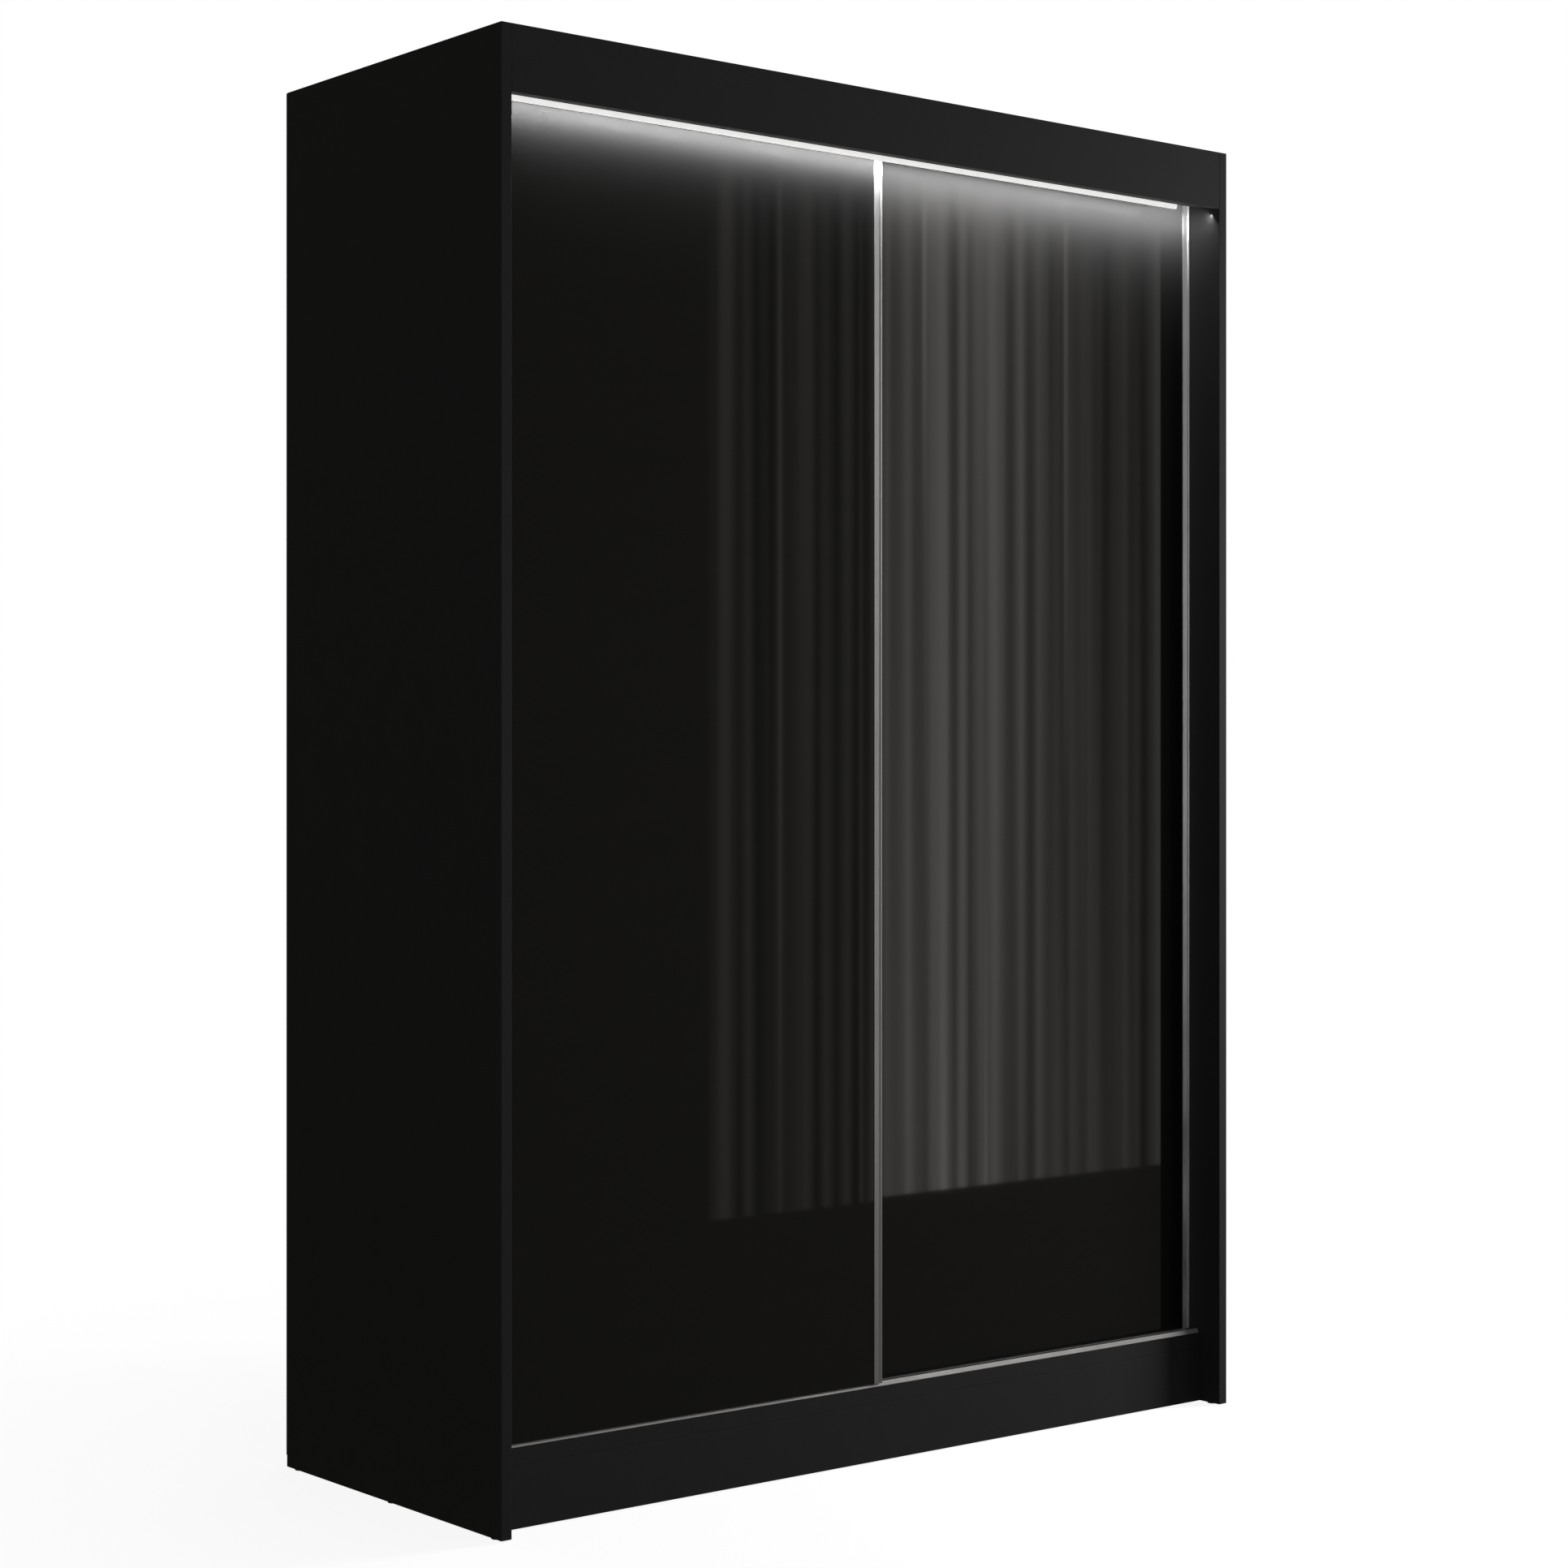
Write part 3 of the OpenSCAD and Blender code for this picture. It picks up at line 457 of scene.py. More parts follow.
def use(tree, node_group, **inputs):
    """Places a group in a material and returns its outputs."""
    node = put(tree, "ShaderNodeGroup", node_tree=node_group)
    for label, value in inputs.items():
        node.inputs[label].default_value = value
    return node.outputs


def bump(tree, height, strength, distance):
    """Normal from a height that changes over the surface."""
    inputs = {"Strength": strength, "Distance": distance, "Height": height}
    return put(tree, "ShaderNodeBump", inputs).outputs["Normal"]


def material(name, build):
    """Material, made once: build(tree) returns the inputs of its Principled BSDF. Its name
    ends in _finish, because the CAD nodes' own materials already have the plain names."""
    label = name + "_finish"
    made = bpy.data.materials.get(label)
    if made:
        return made
    made = bpy.data.materials.new(label)
    made.use_nodes = True
    tree = made.node_tree
    tree.nodes.clear()
    shader = put(tree, "ShaderNodeBsdfPrincipled", build(tree))
    put(tree, "ShaderNodeOutputMaterial", {"Surface": shader.outputs["BSDF"]})
    return made


# ---------- finishes ----------


def finishes():
    """The settings of the finishes."""
    return bpy.context.scene.wardrobe_finishes


def black_melamine():
    """Matt black melamine: a fine pressed texture, cloudy gloss, dust on top and paler edges, which are
    partly wear and partly a painted highlight on the rounding.
    """
    colour, depth = finishes().board_colour, finishes().board_texture

    def build(tree):
        mottle = use(tree, mottle_group(), Scale=16.0)
        rim_mask = use(tree, rim_patch_group(), Amount=0.22, Scale=30.0)["Mask"]
        dust = use(tree, dust_group(), Amount=0.05)["Mask"]
        ground = blended(tree, mottle["Value"], rgba(colour, 0.86), rgba(colour, 1.16))
        # Rounded edges painted three times paler in patches: partly rubbed wear, partly a painted highlight
        # where the rounding catches light.
        wear_and_edge_highlight = blended(tree, rim_mask, ground, rgba(colour, 3.0))
        return {
            "Base Color": blended(tree, dust, wear_and_edge_highlight, (0.2, 0.19, 0.18, 1)),
            "Roughness": ranged(tree, mottle["Value"], 0.46, 0.6, 0.3, 0.7),
            "Specular IOR Level": 0.15,
            "Normal": bump(tree, mottle["Height"], 0.35, depth),
        }

    return material("black_melamine", build)


def black_glass():
    """Glass painted black on its back: a clear gloss over a soft haze, with faint wipe marks."""
    colour = finishes().glass_colour

    def build(tree):
        mottle = use(tree, mottle_group(), Scale=3.0)
        wipe = use(tree, grain_group(), Stretch=(4.0, 4.0, 22.0))["Value"]
        return {
            "Base Color": blended(tree, mottle["Value"], rgba(colour, 0.9), rgba(colour, 1.1)),
            "Roughness": ranged(tree, wipe, 0.5, 0.58, 0.3, 0.7),
            "Specular IOR Level": 0.17,
            "Coat Weight": ranged(tree, mottle["Value"], 0.97, 1.0, 0.3, 0.7),
            "Coat Roughness": 0.03,
            "Coat IOR": 1.52,
        }

    return material("black_glass", build)


def aluminium(direction):
    """Satin anodised aluminium, brushed along an axis."""
    colour = finishes().aluminium_colour
    stretch = [1400.0] * 3
    stretch[direction] = 9.0

    def build(tree):
        grain = use(tree, grain_group(), Stretch=stretch)
        mottle = use(tree, mottle_group(), Scale=12.0)["Value"]
        satin = blended(tree, grain["Value"], rgba(colour, 0.84), rgba(colour, 1.1))
        return {
            "Base Color": satin,
            "Metallic": 1.0,
            "Roughness": ranged(tree, mottle, 0.34, 0.46, 0.3, 0.7),
            "Normal": bump(tree, grain["Height"], 0.25, 0.02 * MM),
        }

    return material("aluminium_along_" + "xyz"[direction], build)


def steel():
    """Zinc plated steel with a cloudy, slightly blue spangle."""
    colour = finishes().steel_colour

    def build(tree):
        where = put(tree, "ShaderNodeTexCoord").outputs["Object"]
        spangle = put(tree, "ShaderNodeTexVoronoi", {"Vector": where, "Scale": 420.0}).outputs["Distance"]
        mottle = use(tree, mottle_group(), Scale=60.0)
        return {
            "Base Color": blended(tree, mottle["Value"], rgba(colour, 0.75), rgba(colour, 1.15)),
            "Metallic": 1.0,
            "Roughness": ranged(tree, spangle, 0.28, 0.44, 0.0, 0.6),
            "Normal": bump(tree, mottle["Height"], 0.2, 0.02 * MM),
        }

    return material("zinc_plated_steel", build)


def brushed_steel():
    """Steel tube polished along its length."""
    colour = finishes().steel_colour

    def build(tree):
        grain = use(tree, grain_group(), Stretch=(8.0, 1200.0, 1200.0))
        return {
            "Base Color": blended(tree, grain["Value"], rgba(colour, 0.9), rgba(colour, 1.3)),
            "Metallic": 1.0,
            "Roughness": ranged(tree, grain["Value"], 0.2, 0.32, 0.3, 0.7),
            "Normal": bump(tree, grain["Height"], 0.15, 0.02 * MM),
        }

    return material("brushed_steel", build)


def hardboard():
    """Brown hardboard: short pressed fibres in two directions and darker specks."""
    colour = finishes().back_colour

    def build(tree):
        along = use(tree, grain_group(), Stretch=(60.0, 60.0, 380.0))
        across = use(tree, grain_group(), Stretch=(420.0, 60.0, 70.0))
        fibre = maths(tree, "MULTIPLY", along["Value"], across["Value"])
        speck = use(tree, mottle_group(), Scale=25.0)["Height"]
        pale = ranged(tree, fibre, 0.0, 1.0, 0.12, 0.4)
        ground = blended(tree, pale, rgba(colour, 0.72), rgba(colour, 1.25))
        dark = ranged(tree, speck, 0.0, 1.0, 0.68, 0.85)
        return {
            "Base Color": blended(tree, dark, ground, rgba(colour, 0.5)),
            "Roughness": ranged(tree, fibre, 0.62, 0.8, 0.12, 0.4),
            "Normal": bump(tree, fibre, 0.3, 0.1 * MM),
        }

    return material("hardboard", build)


def beech():
    """Beech dowel wood with fine flecks along the grain."""

    def build(tree):
        grain = use(tree, grain_group(), Stretch=(40.0, 900.0, 900.0))
        return {
            "Base Color": blended(tree, grain["Value"], (0.46, 0.28, 0.14, 1), (0.72, 0.5, 0.3, 1)),
            "Roughness": ranged(tree, grain["Height"], 0.5, 0.7),
            "Normal": bump(tree, grain["Height"], 0.3, 0.1 * MM),
        }

    return material("beech", build)


def moulded(name, colour, shine=(0.4, 0.55), grime=0.0):
    """Moulded plastic or rubber: fine spark-eroded texture, uneven gloss, darker grime."""

    def build(tree):
        mottle = use(tree, mottle_group(), Scale=70.0)
        base = blended(tree, mottle["Value"], rgba(colour, 0.82), rgba(colour, 1.12))
        rim_mask = use(tree, rim_patch_group(), Amount=grime, Scale=150.0)["Mask"]
        return {
            "Base Color": blended(tree, rim_mask, base, rgba(colour, 0.35)),
            "Roughness": ranged(tree, mottle["Value"], *shine, 0.3, 0.7),
            "Normal": bump(tree, mottle["Height"], 0.3, 0.05 * MM),
        }

    return material(name, build)


def black_plastic():
    return moulded("black_plastic", (0.02, 0.02, 0.021))


def grey_plastic():
    return moulded("grey_plastic", (0.36, 0.36, 0.37))


def rubber():
    return moulded("rubber", (0.018, 0.018, 0.018), shine=(0.75, 0.9))


def nylon():
    return moulded("nylon", tuple(finishes().wheel_colour), shine=(0.34, 0.5), grime=0.5)


def brush_fibre():
    """Black bristles; the value tuft gives each tuft its own shade."""

    def build(tree):
        tuft = put(tree, "ShaderNodeAttribute", attribute_name="tuft").outputs["Fac"]
        grain = use(tree, grain_group(), Stretch=(2500.0, 2500.0, 60.0))
        return {
            "Base Color": blended(tree, tuft, (0.006, 0.006, 0.006, 1), (0.035, 0.033, 0.03, 1)),
            "Roughness": ranged(tree, grain["Value"], 0.45, 0.7),
            "Normal": bump(tree, grain["Height"], 0.4, 0.05 * MM),
        }

    return material("brush_fibre", build)


CHIP_PITCH = 40 * MM


def opal_diffuser():
    """Opal cover lit from inside: its brightness rises and falls once for each chip."""
    colour, gain = finishes().light_colour, finishes().light_face

    def build(tree):
        where = put(tree, "ShaderNodeTexCoord").outputs["Object"]
        along = put(tree, "ShaderNodeSeparateXYZ", {"Vector": where}).outputs["X"]
        phase = maths(tree, "MULTIPLY", along, 2 * math.pi / CHIP_PITCH)
        wave = ranged(tree, maths(tree, "SINE", phase), 0.0, 1.0, -1.0, 1.0)
        frost = use(tree, mottle_group(), Scale=90.0)
        return {
            "Base Color": blended(tree, frost["Value"], (0.78, 0.79, 0.79, 1), (0.88, 0.88, 0.88, 1)),
            "Roughness": ranged(tree, frost["Value"], 0.5, 0.62),
            "Emission Color": blended(tree, wave, rgba(colour, 0.96), rgba(colour)),
            "Emission Strength": gain,
            "Normal": bump(tree, frost["Height"], 0.15, 0.03 * MM),
        }

    return material("opal_diffuser", build)


def led_chips():
    """White circuit strip with a lit chip at every pitch. A chip is where the distance to
    the nearest whole number of pitches from the strip's start is less than its half width."""
    start = box("led_diffuser")[0][X]
    half_chip = 0.065

    def build(tree):
        where = put(tree, "ShaderNodeTexCoord").outputs["Object"]
        along = put(tree, "ShaderNodeSeparateXYZ", {"Vector": where}).outputs["X"]
        step = maths(tree, "DIVIDE", maths(tree, "SUBTRACT", along, start), CHIP_PITCH)
        part = maths(tree, "FRACT", maths(tree, "ADD", step, 0.5))
        offset = maths(tree, "ABSOLUTE", maths(tree, "SUBTRACT", part, 0.5))
        chip = maths(tree, "LESS_THAN", offset, half_chip)
        mottle = use(tree, mottle_group(), Scale=80.0)
        strip = blended(tree, mottle["Value"], (0.7, 0.69, 0.66, 1), (0.8, 0.79, 0.76, 1))
        return {
            "Base Color": blended(tree, chip, strip, (0.85, 0.72, 0.25, 1)),
            "Roughness": ranged(tree, mottle["Value"], 0.35, 0.5),
            "Emission Color": blended(tree, chip, (0, 0, 0, 1), (1.0, 0.98, 0.92, 1)),
            "Emission Strength": 3.0,
        }

    return material("led_chips", build)


# ---------- settings ----------


def size_property(name, description, default, low, high):
    """Length setting. The numbers are in millimetres."""
    return FloatProperty(
        name=name, description=description, default=default * MM, min=low * MM, max=high * MM,
        unit="LENGTH", precision=4,
    )


def colour_property(name, description, default):
    return FloatVectorProperty(
        name=name, description=description, default=default, size=3, min=0, max=1, subtype="COLOR"
    )


class WardrobeShapes(bpy.types.PropertyGroup):
    board_edge: size_property("Board edge", "Radius of the boards' edges", 0.8, 0.2, 3)
    glass_edge: size_property("Glass edge", "Radius of the polished glass edges", 0.5, 0.1, 1.5)
    fitting_edge: size_property("Fitting edge", "Radius on plastic and sheet metal fittings", 0.4, 0.1, 1)
    profile_wall: size_property("Profile wall", "Wall of the doors' edge profiles", 1.2, 1, 2)
    groove_radius: size_property("Groove radius", "Radius of the profiles' finger groove", 2.4, 1, 3)
    tuft_pitch: size_property("Tuft pitch", "Distance between the brushes' tufts", 2.2, 1.5, 6)
    spokes: IntProperty(name="Spokes", description="Spokes of a wheel", default=5, min=3, max=8)


class WardrobeFinishes(bpy.types.PropertyGroup):
    board_colour: colour_property("Board colour", "Colour of the melamine boards", (0.0165, 0.0163, 0.0165))
    board_texture: size_property("Board texture", "Depth of the melamine's texture", 0.06, 0.01, 0.3)
    glass_colour: colour_property("Glass colour", "Paint behind the glass", (0.0011, 0.0011, 0.0011))
    aluminium_colour: colour_property("Aluminium colour", "Colour of the profiles", (0.7, 0.705, 0.71))
    steel_colour: colour_property("Steel colour", "Colour of the plated fittings", (0.52, 0.53, 0.55))
    wheel_colour: colour_property("Wheel colour", "Colour of the nylon wheels", (0.72, 0.72, 0.68))
    back_colour: colour_property("Back colour", "Colour of the hardboard back", (0.2, 0.115, 0.06))
    light_colour: colour_property("Light colour", "Colour of the light bar", (1.0, 1.0, 0.99))
    light_face: FloatProperty(
        name="Light bar face", description="Brightness of the light bar's cover", default=0.78, min=0, max=5
    )


class WardrobeStage(bpy.types.PropertyGroup):
    floor_colour: colour_property("Floor colour", "Colour of the studio floor", (0.86, 0.86, 0.86))
    key_power: FloatProperty(
        name="Key light", description="Power of the key light", default=168.0, min=0, max=2000,
        subtype="POWER",
    )
    glow_power: FloatProperty(
        name="Glow", description="Power of the light bar's own light", default=30.0, min=0, max=500,
        subtype="POWER",
    )
    lens: FloatProperty(
        name="Lens", description="Focal length on a 36 mm sensor", default=70.39, min=10, max=300,
        unit="CAMERA",
    )


def shapes():
    """The settings of the shapes."""
    return bpy.context.scene.wardrobe_shapes


# ---------- pieces ----------


class BuildBoards(bpy.types.Operator):
    """Carcass boards, plinth, fascia and loose shelves in melamine; the plain ones and the braces as boards
    with rounded edges, the fitted ones keep their CAD shape
    """

    bl_idname = "wardrobe.build_boards"
    bl_label = "Boards"

    PLAIN = (
        "side_panel_left", "side_panel_right", "centre_divider", "fascia", "plinth_front", "plinth_rear",
        "shelf_1", "shelf_2", "shelf_3", "shelf_4",
    )
    FITTED = ("top_panel", "bottom_panel", "hat_shelf", "left_door_board", "right_door_board")

    def execute(self, context):
        radius = shapes().board_edge
        for node in self.PLAIN:
            board = rounded_box(*box(node), radius)
            make_piece(node + "_board", board, black_melamine(), "carcass", [node])
        self.build_braces(radius)
        for node in self.FITTED:
            finish_node(node, black_melamine())
        return {"FINISHED"}

    def build_braces(self, radius):
        """Braces between the plinth boards, one under each half and one in the middle."""
        low, high = box("plinth_braces")
        rear_low, rear_high = box("plinth_rear")
        half = (rear_high[Y] - rear_low[Y]) / 2
        middles = np.linspace(low[X] + half, high[X] - half, 3)
        first = rounded_box((-half, low[Y], low[Z]), (half, high[Y], high[Z]), radius)
        braces = repeated(first, [(x, 0, 0) for x in middles])
        make_piece(
            "plinth_brace_boards", braces, black_melamine(), "carcass", ["plinth_braces"]
        )


class BuildBack(bpy.types.Operator):
    """Hardboard back sheets with their nails"""

    bl_idname = "wardrobe.build_back"
    bl_label = "Back"

    ROWS = 13
    PER_BOARD = 4

    def execute(self, context):
        for side in SIDES:
            finish_node("back_sheet_" + side, hardboard())
        self.build_nails()
        return {"FINISHED"}

    def build_nails(self):
        """Nails with domed heads: a shank and a head whose height falls off as a circle's does."""
        low, high = box("back_nails")
        head, shank, point = 2.6 * MM, 0.9 * MM, 1.5 * MM
        sheet = box("back_sheet_left")[1][Y]
        dome = arc((0, sheet), 1.0, QUARTER, 0.0, 5) - (0, sheet)
        dome = dome * (head, high[Y] - sheet) + (0, sheet)
        profile = np.vstack([dome, [(shank, sheet), (shank, low[Y] + point), (0, low[Y])]])[::-1]
        nail = turned(profile, (0, 0, 0), Y, around=12, ring=False)
        x_side, z_low, z_high = high[X] - head, low[Z] + head, high[Z] - head
        x_seam = box("centre_divider")[1][X] / 2
        rows = np.linspace(z_low, z_high, self.ROWS + 1)
        upright = [(x, 0, z) for z in rows for x in (-x_side, -x_seam, x_seam, x_side)]
        steps = np.arange(1, self.PER_BOARD + 1) / (self.PER_BOARD + 1)
        across = x_seam + (x_side - x_seam) * steps
        level = [(s * x, 0, z) for x in across for s in (-1, 1) for z in (z_low, z_high)]
        nails = repeated(nail, upright + level)
        make_piece("back_nails_domed", nails, steel(), "carcass", ["back_nails"])


class BuildInterior(bpy.types.Operator):
    """Hanging rail, flanges, connecting fittings, shelf pins, wall brackets and floor glides"""

    bl_idname = "wardrobe.build_interior"
    bl_label = "Interior fittings"

    def execute(self, context):
        self.build_rail()
        self.build_glides()
        for node in ("rail_flanges", "cam_locks", "cam_bolts", "shelf_pins", "carcass_screws"):
            finish_node(node, steel())
        finish_node("wall_brackets", steel(), shapes().fitting_edge)
        finish_node("dowels", beech())
        return {"FINISHED"}

    def build_rail(self):
        """Oval tube: two half circles joined by straight sides, carried along X, with a wall."""
        low, high = box("hanging_rail")
        centre = (low + high)[1:] / 2
        wall = 1.2 * MM
        across, tall = (high - low)[1:]

        def oval(inset):
            half = across / 2 - inset
            rise = (tall - across) / 2
            top = arc(centre + (0, rise), half, 0, math.pi, 16)
            bottom = arc(centre - (0, rise), half, math.pi, 2 * math.pi, 16)
            return np.vstack([top, bottom])

        tube = carried(oval(0.0), low[X], high[X], X, holes=[oval(wall)])
        make_piece("hanging_rail_tube", tube, brushed_steel(), "carcass", ["hanging_rail"])

    def build_glides(self):
        """Nail-on glides: discs with a shallow hollow for the nail and a rounded lower rim."""
        low, high = box("floor_glides")
        radius, height, ease = 8 * MM, high[Z] - low[Z], 0.8 * MM
        hollow, floor, mouth = 0.3 * MM, 2 * MM, 2.6 * MM
        rim = arc((radius - ease, ease), ease, -QUARTER, 0, 4)
        middle = [(0, hollow), (floor, hollow), (mouth, 0)]
        profile = np.vstack([middle, rim, [(radius, height), (0, height)]])
        disc = turned(profile, (0, 0, 0), Z, around=32, ring=False)
        panel_low, panel_high = box("side_panel_left")
        side = abs(panel_low[X] + panel_high[X]) / 2
        brace_front = box("plinth_braces")[0][Y]
        edge, from_front, from_back = 25 * MM, 30 * MM, 80 * MM
        rows = (panel_low[Y] + edge, 0, panel_high[Y] - edge)
        places = [(s * side, y, 0) for s in (-1, 1) for y in rows]
        places += [(0, brace_front + from_front, 0), (0, panel_high[Y] - from_back, 0)]
        glides = repeated(disc, places)
        finish = black_plastic()
        make_piece("floor_glide_discs", glides, finish, "carcass", ["floor_glides"])


class BuildTracks(bpy.types.Operator):
    """Bottom rail, top track and the rubber stops in it"""

    bl_idname = "wardrobe.build_tracks"
    bl_label = "Tracks"

    def execute(self, context):
        self.build_bottom()
        self.build_top()
        finish_node("door_stops", rubber(), shapes().fitting_edge)
        return {"FINISHED"}

    def build_bottom(self):
        """Rail outline in Y and Z: base plate, leaning front lip with a round top, a round-topped
        bead under each door's rollers, and a low rear lip."""
        low, high = box("bottom_track")
        plate, lip_radius, lean, lip_foot = 1.6 * MM, 1 * MM, 4 * MM, 3.2 * MM
        bead, bead_rise, rear_lip = 2 * MM, 3 * MM, 4 * MM
        front, rear, foot = low[Y], high[Y], low[Z]
        top = foot + plate
        lip = (front + lean, high[Z] - lip_radius)
        outline = [[(front, foot)], [(rear, foot)]]
        outline += [arc((rear - plate / 2, foot + rear_lip - plate / 2), plate / 2, 0, math.pi, 6)]
        outline += [[(rear - plate, top)]]
        for side in reversed(SIDES):
            y = mid(side + "_roller_outer")[Y]
            crown = arc((y, foot + bead_rise), bead, 0, math.pi, 10)
            outline += [[(y + bead, top)], crown, [(y - bead, top)]]
        outline += [[(front + lip_foot, top)]]
        tilt = math.atan2(lean - lip_radius, lip[1] - foot)
        outline += [arc(lip, lip_radius, -tilt, math.pi - tilt, 8)]
        track = carried(np.vstack(outline), low[X], high[X], X)
        make_piece("bottom_rail", track, aluminium(X), "carcass", ["bottom_track"])

    def build_top(self):
        """Track outline: a plate with three webs that make two channels, with eased corners."""
        low, high = box("top_track")
        plate, web, ease = 1.8 * MM, 2 * MM, 0.3 * MM
        pitch = (high[Y] - low[Y] - web) / 2
        ceiling = high[Z] - plate
        corners = [(high[Y], high[Z]), (low[Y], high[Z])]
        for k in range(3):
            y = low[Y] + k * pitch
            corners += [(y, ceiling)] if k else []
            corners += [(y, low[Z]), (y + web, low[Z])]
            corners += [(y + web, ceiling)] if k < 2 else []
        outline = eased(corners, ease)
        track = carried(outline, low[X], high[X], X)
        make_piece("top_channels", track, aluminium(X), "carcass", ["top_track"])


class BuildLightBar(bpy.types.Operator):
    """Light bar under the fascia: aluminium channel, opal cover, end caps, chips and supply"""

    bl_idname = "wardrobe.build_light_bar"
    bl_label = "Light bar"

    SLANT = 5 * MM
    COVER_EASE = tuple(radius * MM for radius in (0.1, 0.5, 1.2, 0.1))
    CAP_EASE = tuple(radius * MM for radius in (0.5, 0.2, 0.1, 0.5, 1.0, 0.5))

    def cover(self):
        """Outline of the opal cover in Y and Z; its front slants back towards the bottom."""
        low, high = box("led_diffuser")
        return [(low[Y], high[Z]), (low[Y] + self.SLANT, low[Z]), (high[Y], low[Z]), (high[Y], high[Z])]

    def execute(self, context):
        low, high = box("led_diffuser")
        bar = carried(eased(self.cover(), self.COVER_EASE, 5), low[X], high[X], X)
        make_piece("light_cover", bar, opal_diffuser(), "carcass", ["led_diffuser"])
        self.build_caps()
        finish_node("led_channel", aluminium(X))
        finish_node("led_tape", led_chips())
        finish_node("led_driver", black_plastic(), shapes().fitting_edge)
        return {"FINISHED"}

    def build_caps(self):
        """End caps: the cover's outline with the channel's on top."""
        low, high = box("led_end_caps")
        front, slant, rear = self.cover()[:3]
        corners = [(low[Y], high[Z]), (low[Y], front[1]), front, slant, rear, (rear[0], high[Z])]
        outline = eased(corners, self.CAP_EASE, 3)
        inner_low, inner_high = box("led_diffuser")
        caps = joined([
            carried(outline, low[X], inner_low[X], X),
            carried(outline, inner_high[X], high[X], X),
        ])
        make_piece("light_end_caps", caps, grey_plastic(), "carcass", ["led_end_caps"])


class BuildDoors(bpy.types.Operator):
    """Glass panes, edge profiles, housings, axles and screws of both doors"""

    bl_idname = "wardrobe.build_doors"
    bl_label = "Doors"

    def execute(self, context):
        for side in SIDES:
            body = side + "_door"
            pane = rounded_box(*box(body + "_glass"), shapes().glass_edge)
            make_piece(body + "_pane", pane, black_glass(), body, [body + "_glass"])
            for place in ("outer", "meeting"):
                self.build_profile(body, place)
            for part in ("_roller_housings", "_guide_housings"):
                finish_node(body + part, black_plastic(), shapes().fitting_edge)
            for part in ("_roller_axles", "_screws"):
                finish_node(body + part, steel())
        return {"FINISHED"}

    def build_profile(self, body, place):
        """Edge profile carried up along Z. Its outline grips the panel on one side; the face
        has a flat band, a shallow finger groove and a rounded nose. The foot has only the
        front part of the outline, so that it clears the rail's lip."""
        node = body + "_profile_" + place
        low, high = box(node)
        width, thick = high[X] - low[X], high[Y] - low[Y]
        inner = mid(body + "_glass")[X]
        outward = 1 if low[X] > inner else -1
        edge = high[X] if outward > 0 else low[X]
        wall, groove = shapes().profile_wall, shapes().groove_radius
        whole = self.section(width, thick, wall, groove)
        chamber = self.chamber(width, thick, groove)
        foot_top = box(body + "_board")[0][Z]
        glass_back = box(body + "_glass")[1][Y] - low[Y]

        def placed(outline):
            return outline * (outward, 1) + (edge, low[Y])

        upper = carried(placed(whole), foot_top, high[Z], Z, holes=[placed(chamber)])
        front = self.foot(width, wall, groove, glass_back)
        lower = carried(placed(front), low[Z], foot_top, Z)
        shape = joined([upper, lower])
        make_piece(node + "_extrusion", shape, aluminium(Z), body, [node])

    def lip(self, width):
        """Rounded front corner beside the panel."""
        ease = 0.3 * MM
        return arc((-width + ease, ease), ease, math.pi, 1.5 * math.pi, 3)

    def face(self, width, groove):
        """Front of the outline, from the panel to the edge: lip, flat, groove, flat and nose.
        The groove's circle has its centre half a radius in front of the face."""
        nose, middle = 1.5 * MM, -0.35 * width
        half = math.acos(0.5)
        cut = arc((middle, -0.5 * groove), groove, QUARTER + half, QUARTER - half, 10)
        return np.vstack([self.lip(width), cut, arc((-nose, nose), nose, -QUARTER, 0, 6)])

    def section(self, width, thick, wall, groove):
        """Whole outline in X and Y: x is 0 at the door's edge, y is 0 at its face."""
        slot, ease = -width / 2, 0.3 * MM
        back = [(0, thick - ease), (-ease, thick)]
        jaw = [(-width, thick), (-width, thick - wall), (slot, thick - wall)]
        rest = [(slot, wall), (-width, wall)]
        return np.vstack([self.face(width, groove), back, jaw, rest])

    def chamber(self, width, thick, groove):
        """Hollow between the panel's edge and the nose."""
        skin = 1.4 * MM
        left, right = -width / 2 + skin, -skin
        low, high = 0.5 * groove + 2 * skin, thick - skin
        return eased([(left, low), (right, low), (right, high), (left, high)], 0.6 * MM)

    def foot(self, width, wall, groove, depth):
        """Front part of the outline below the door board."""
        rest = [(0, depth), (-width / 2, depth), (-width / 2, wall), (-width, wall)]
        return np.vstack([self.face(width, groove), rest])


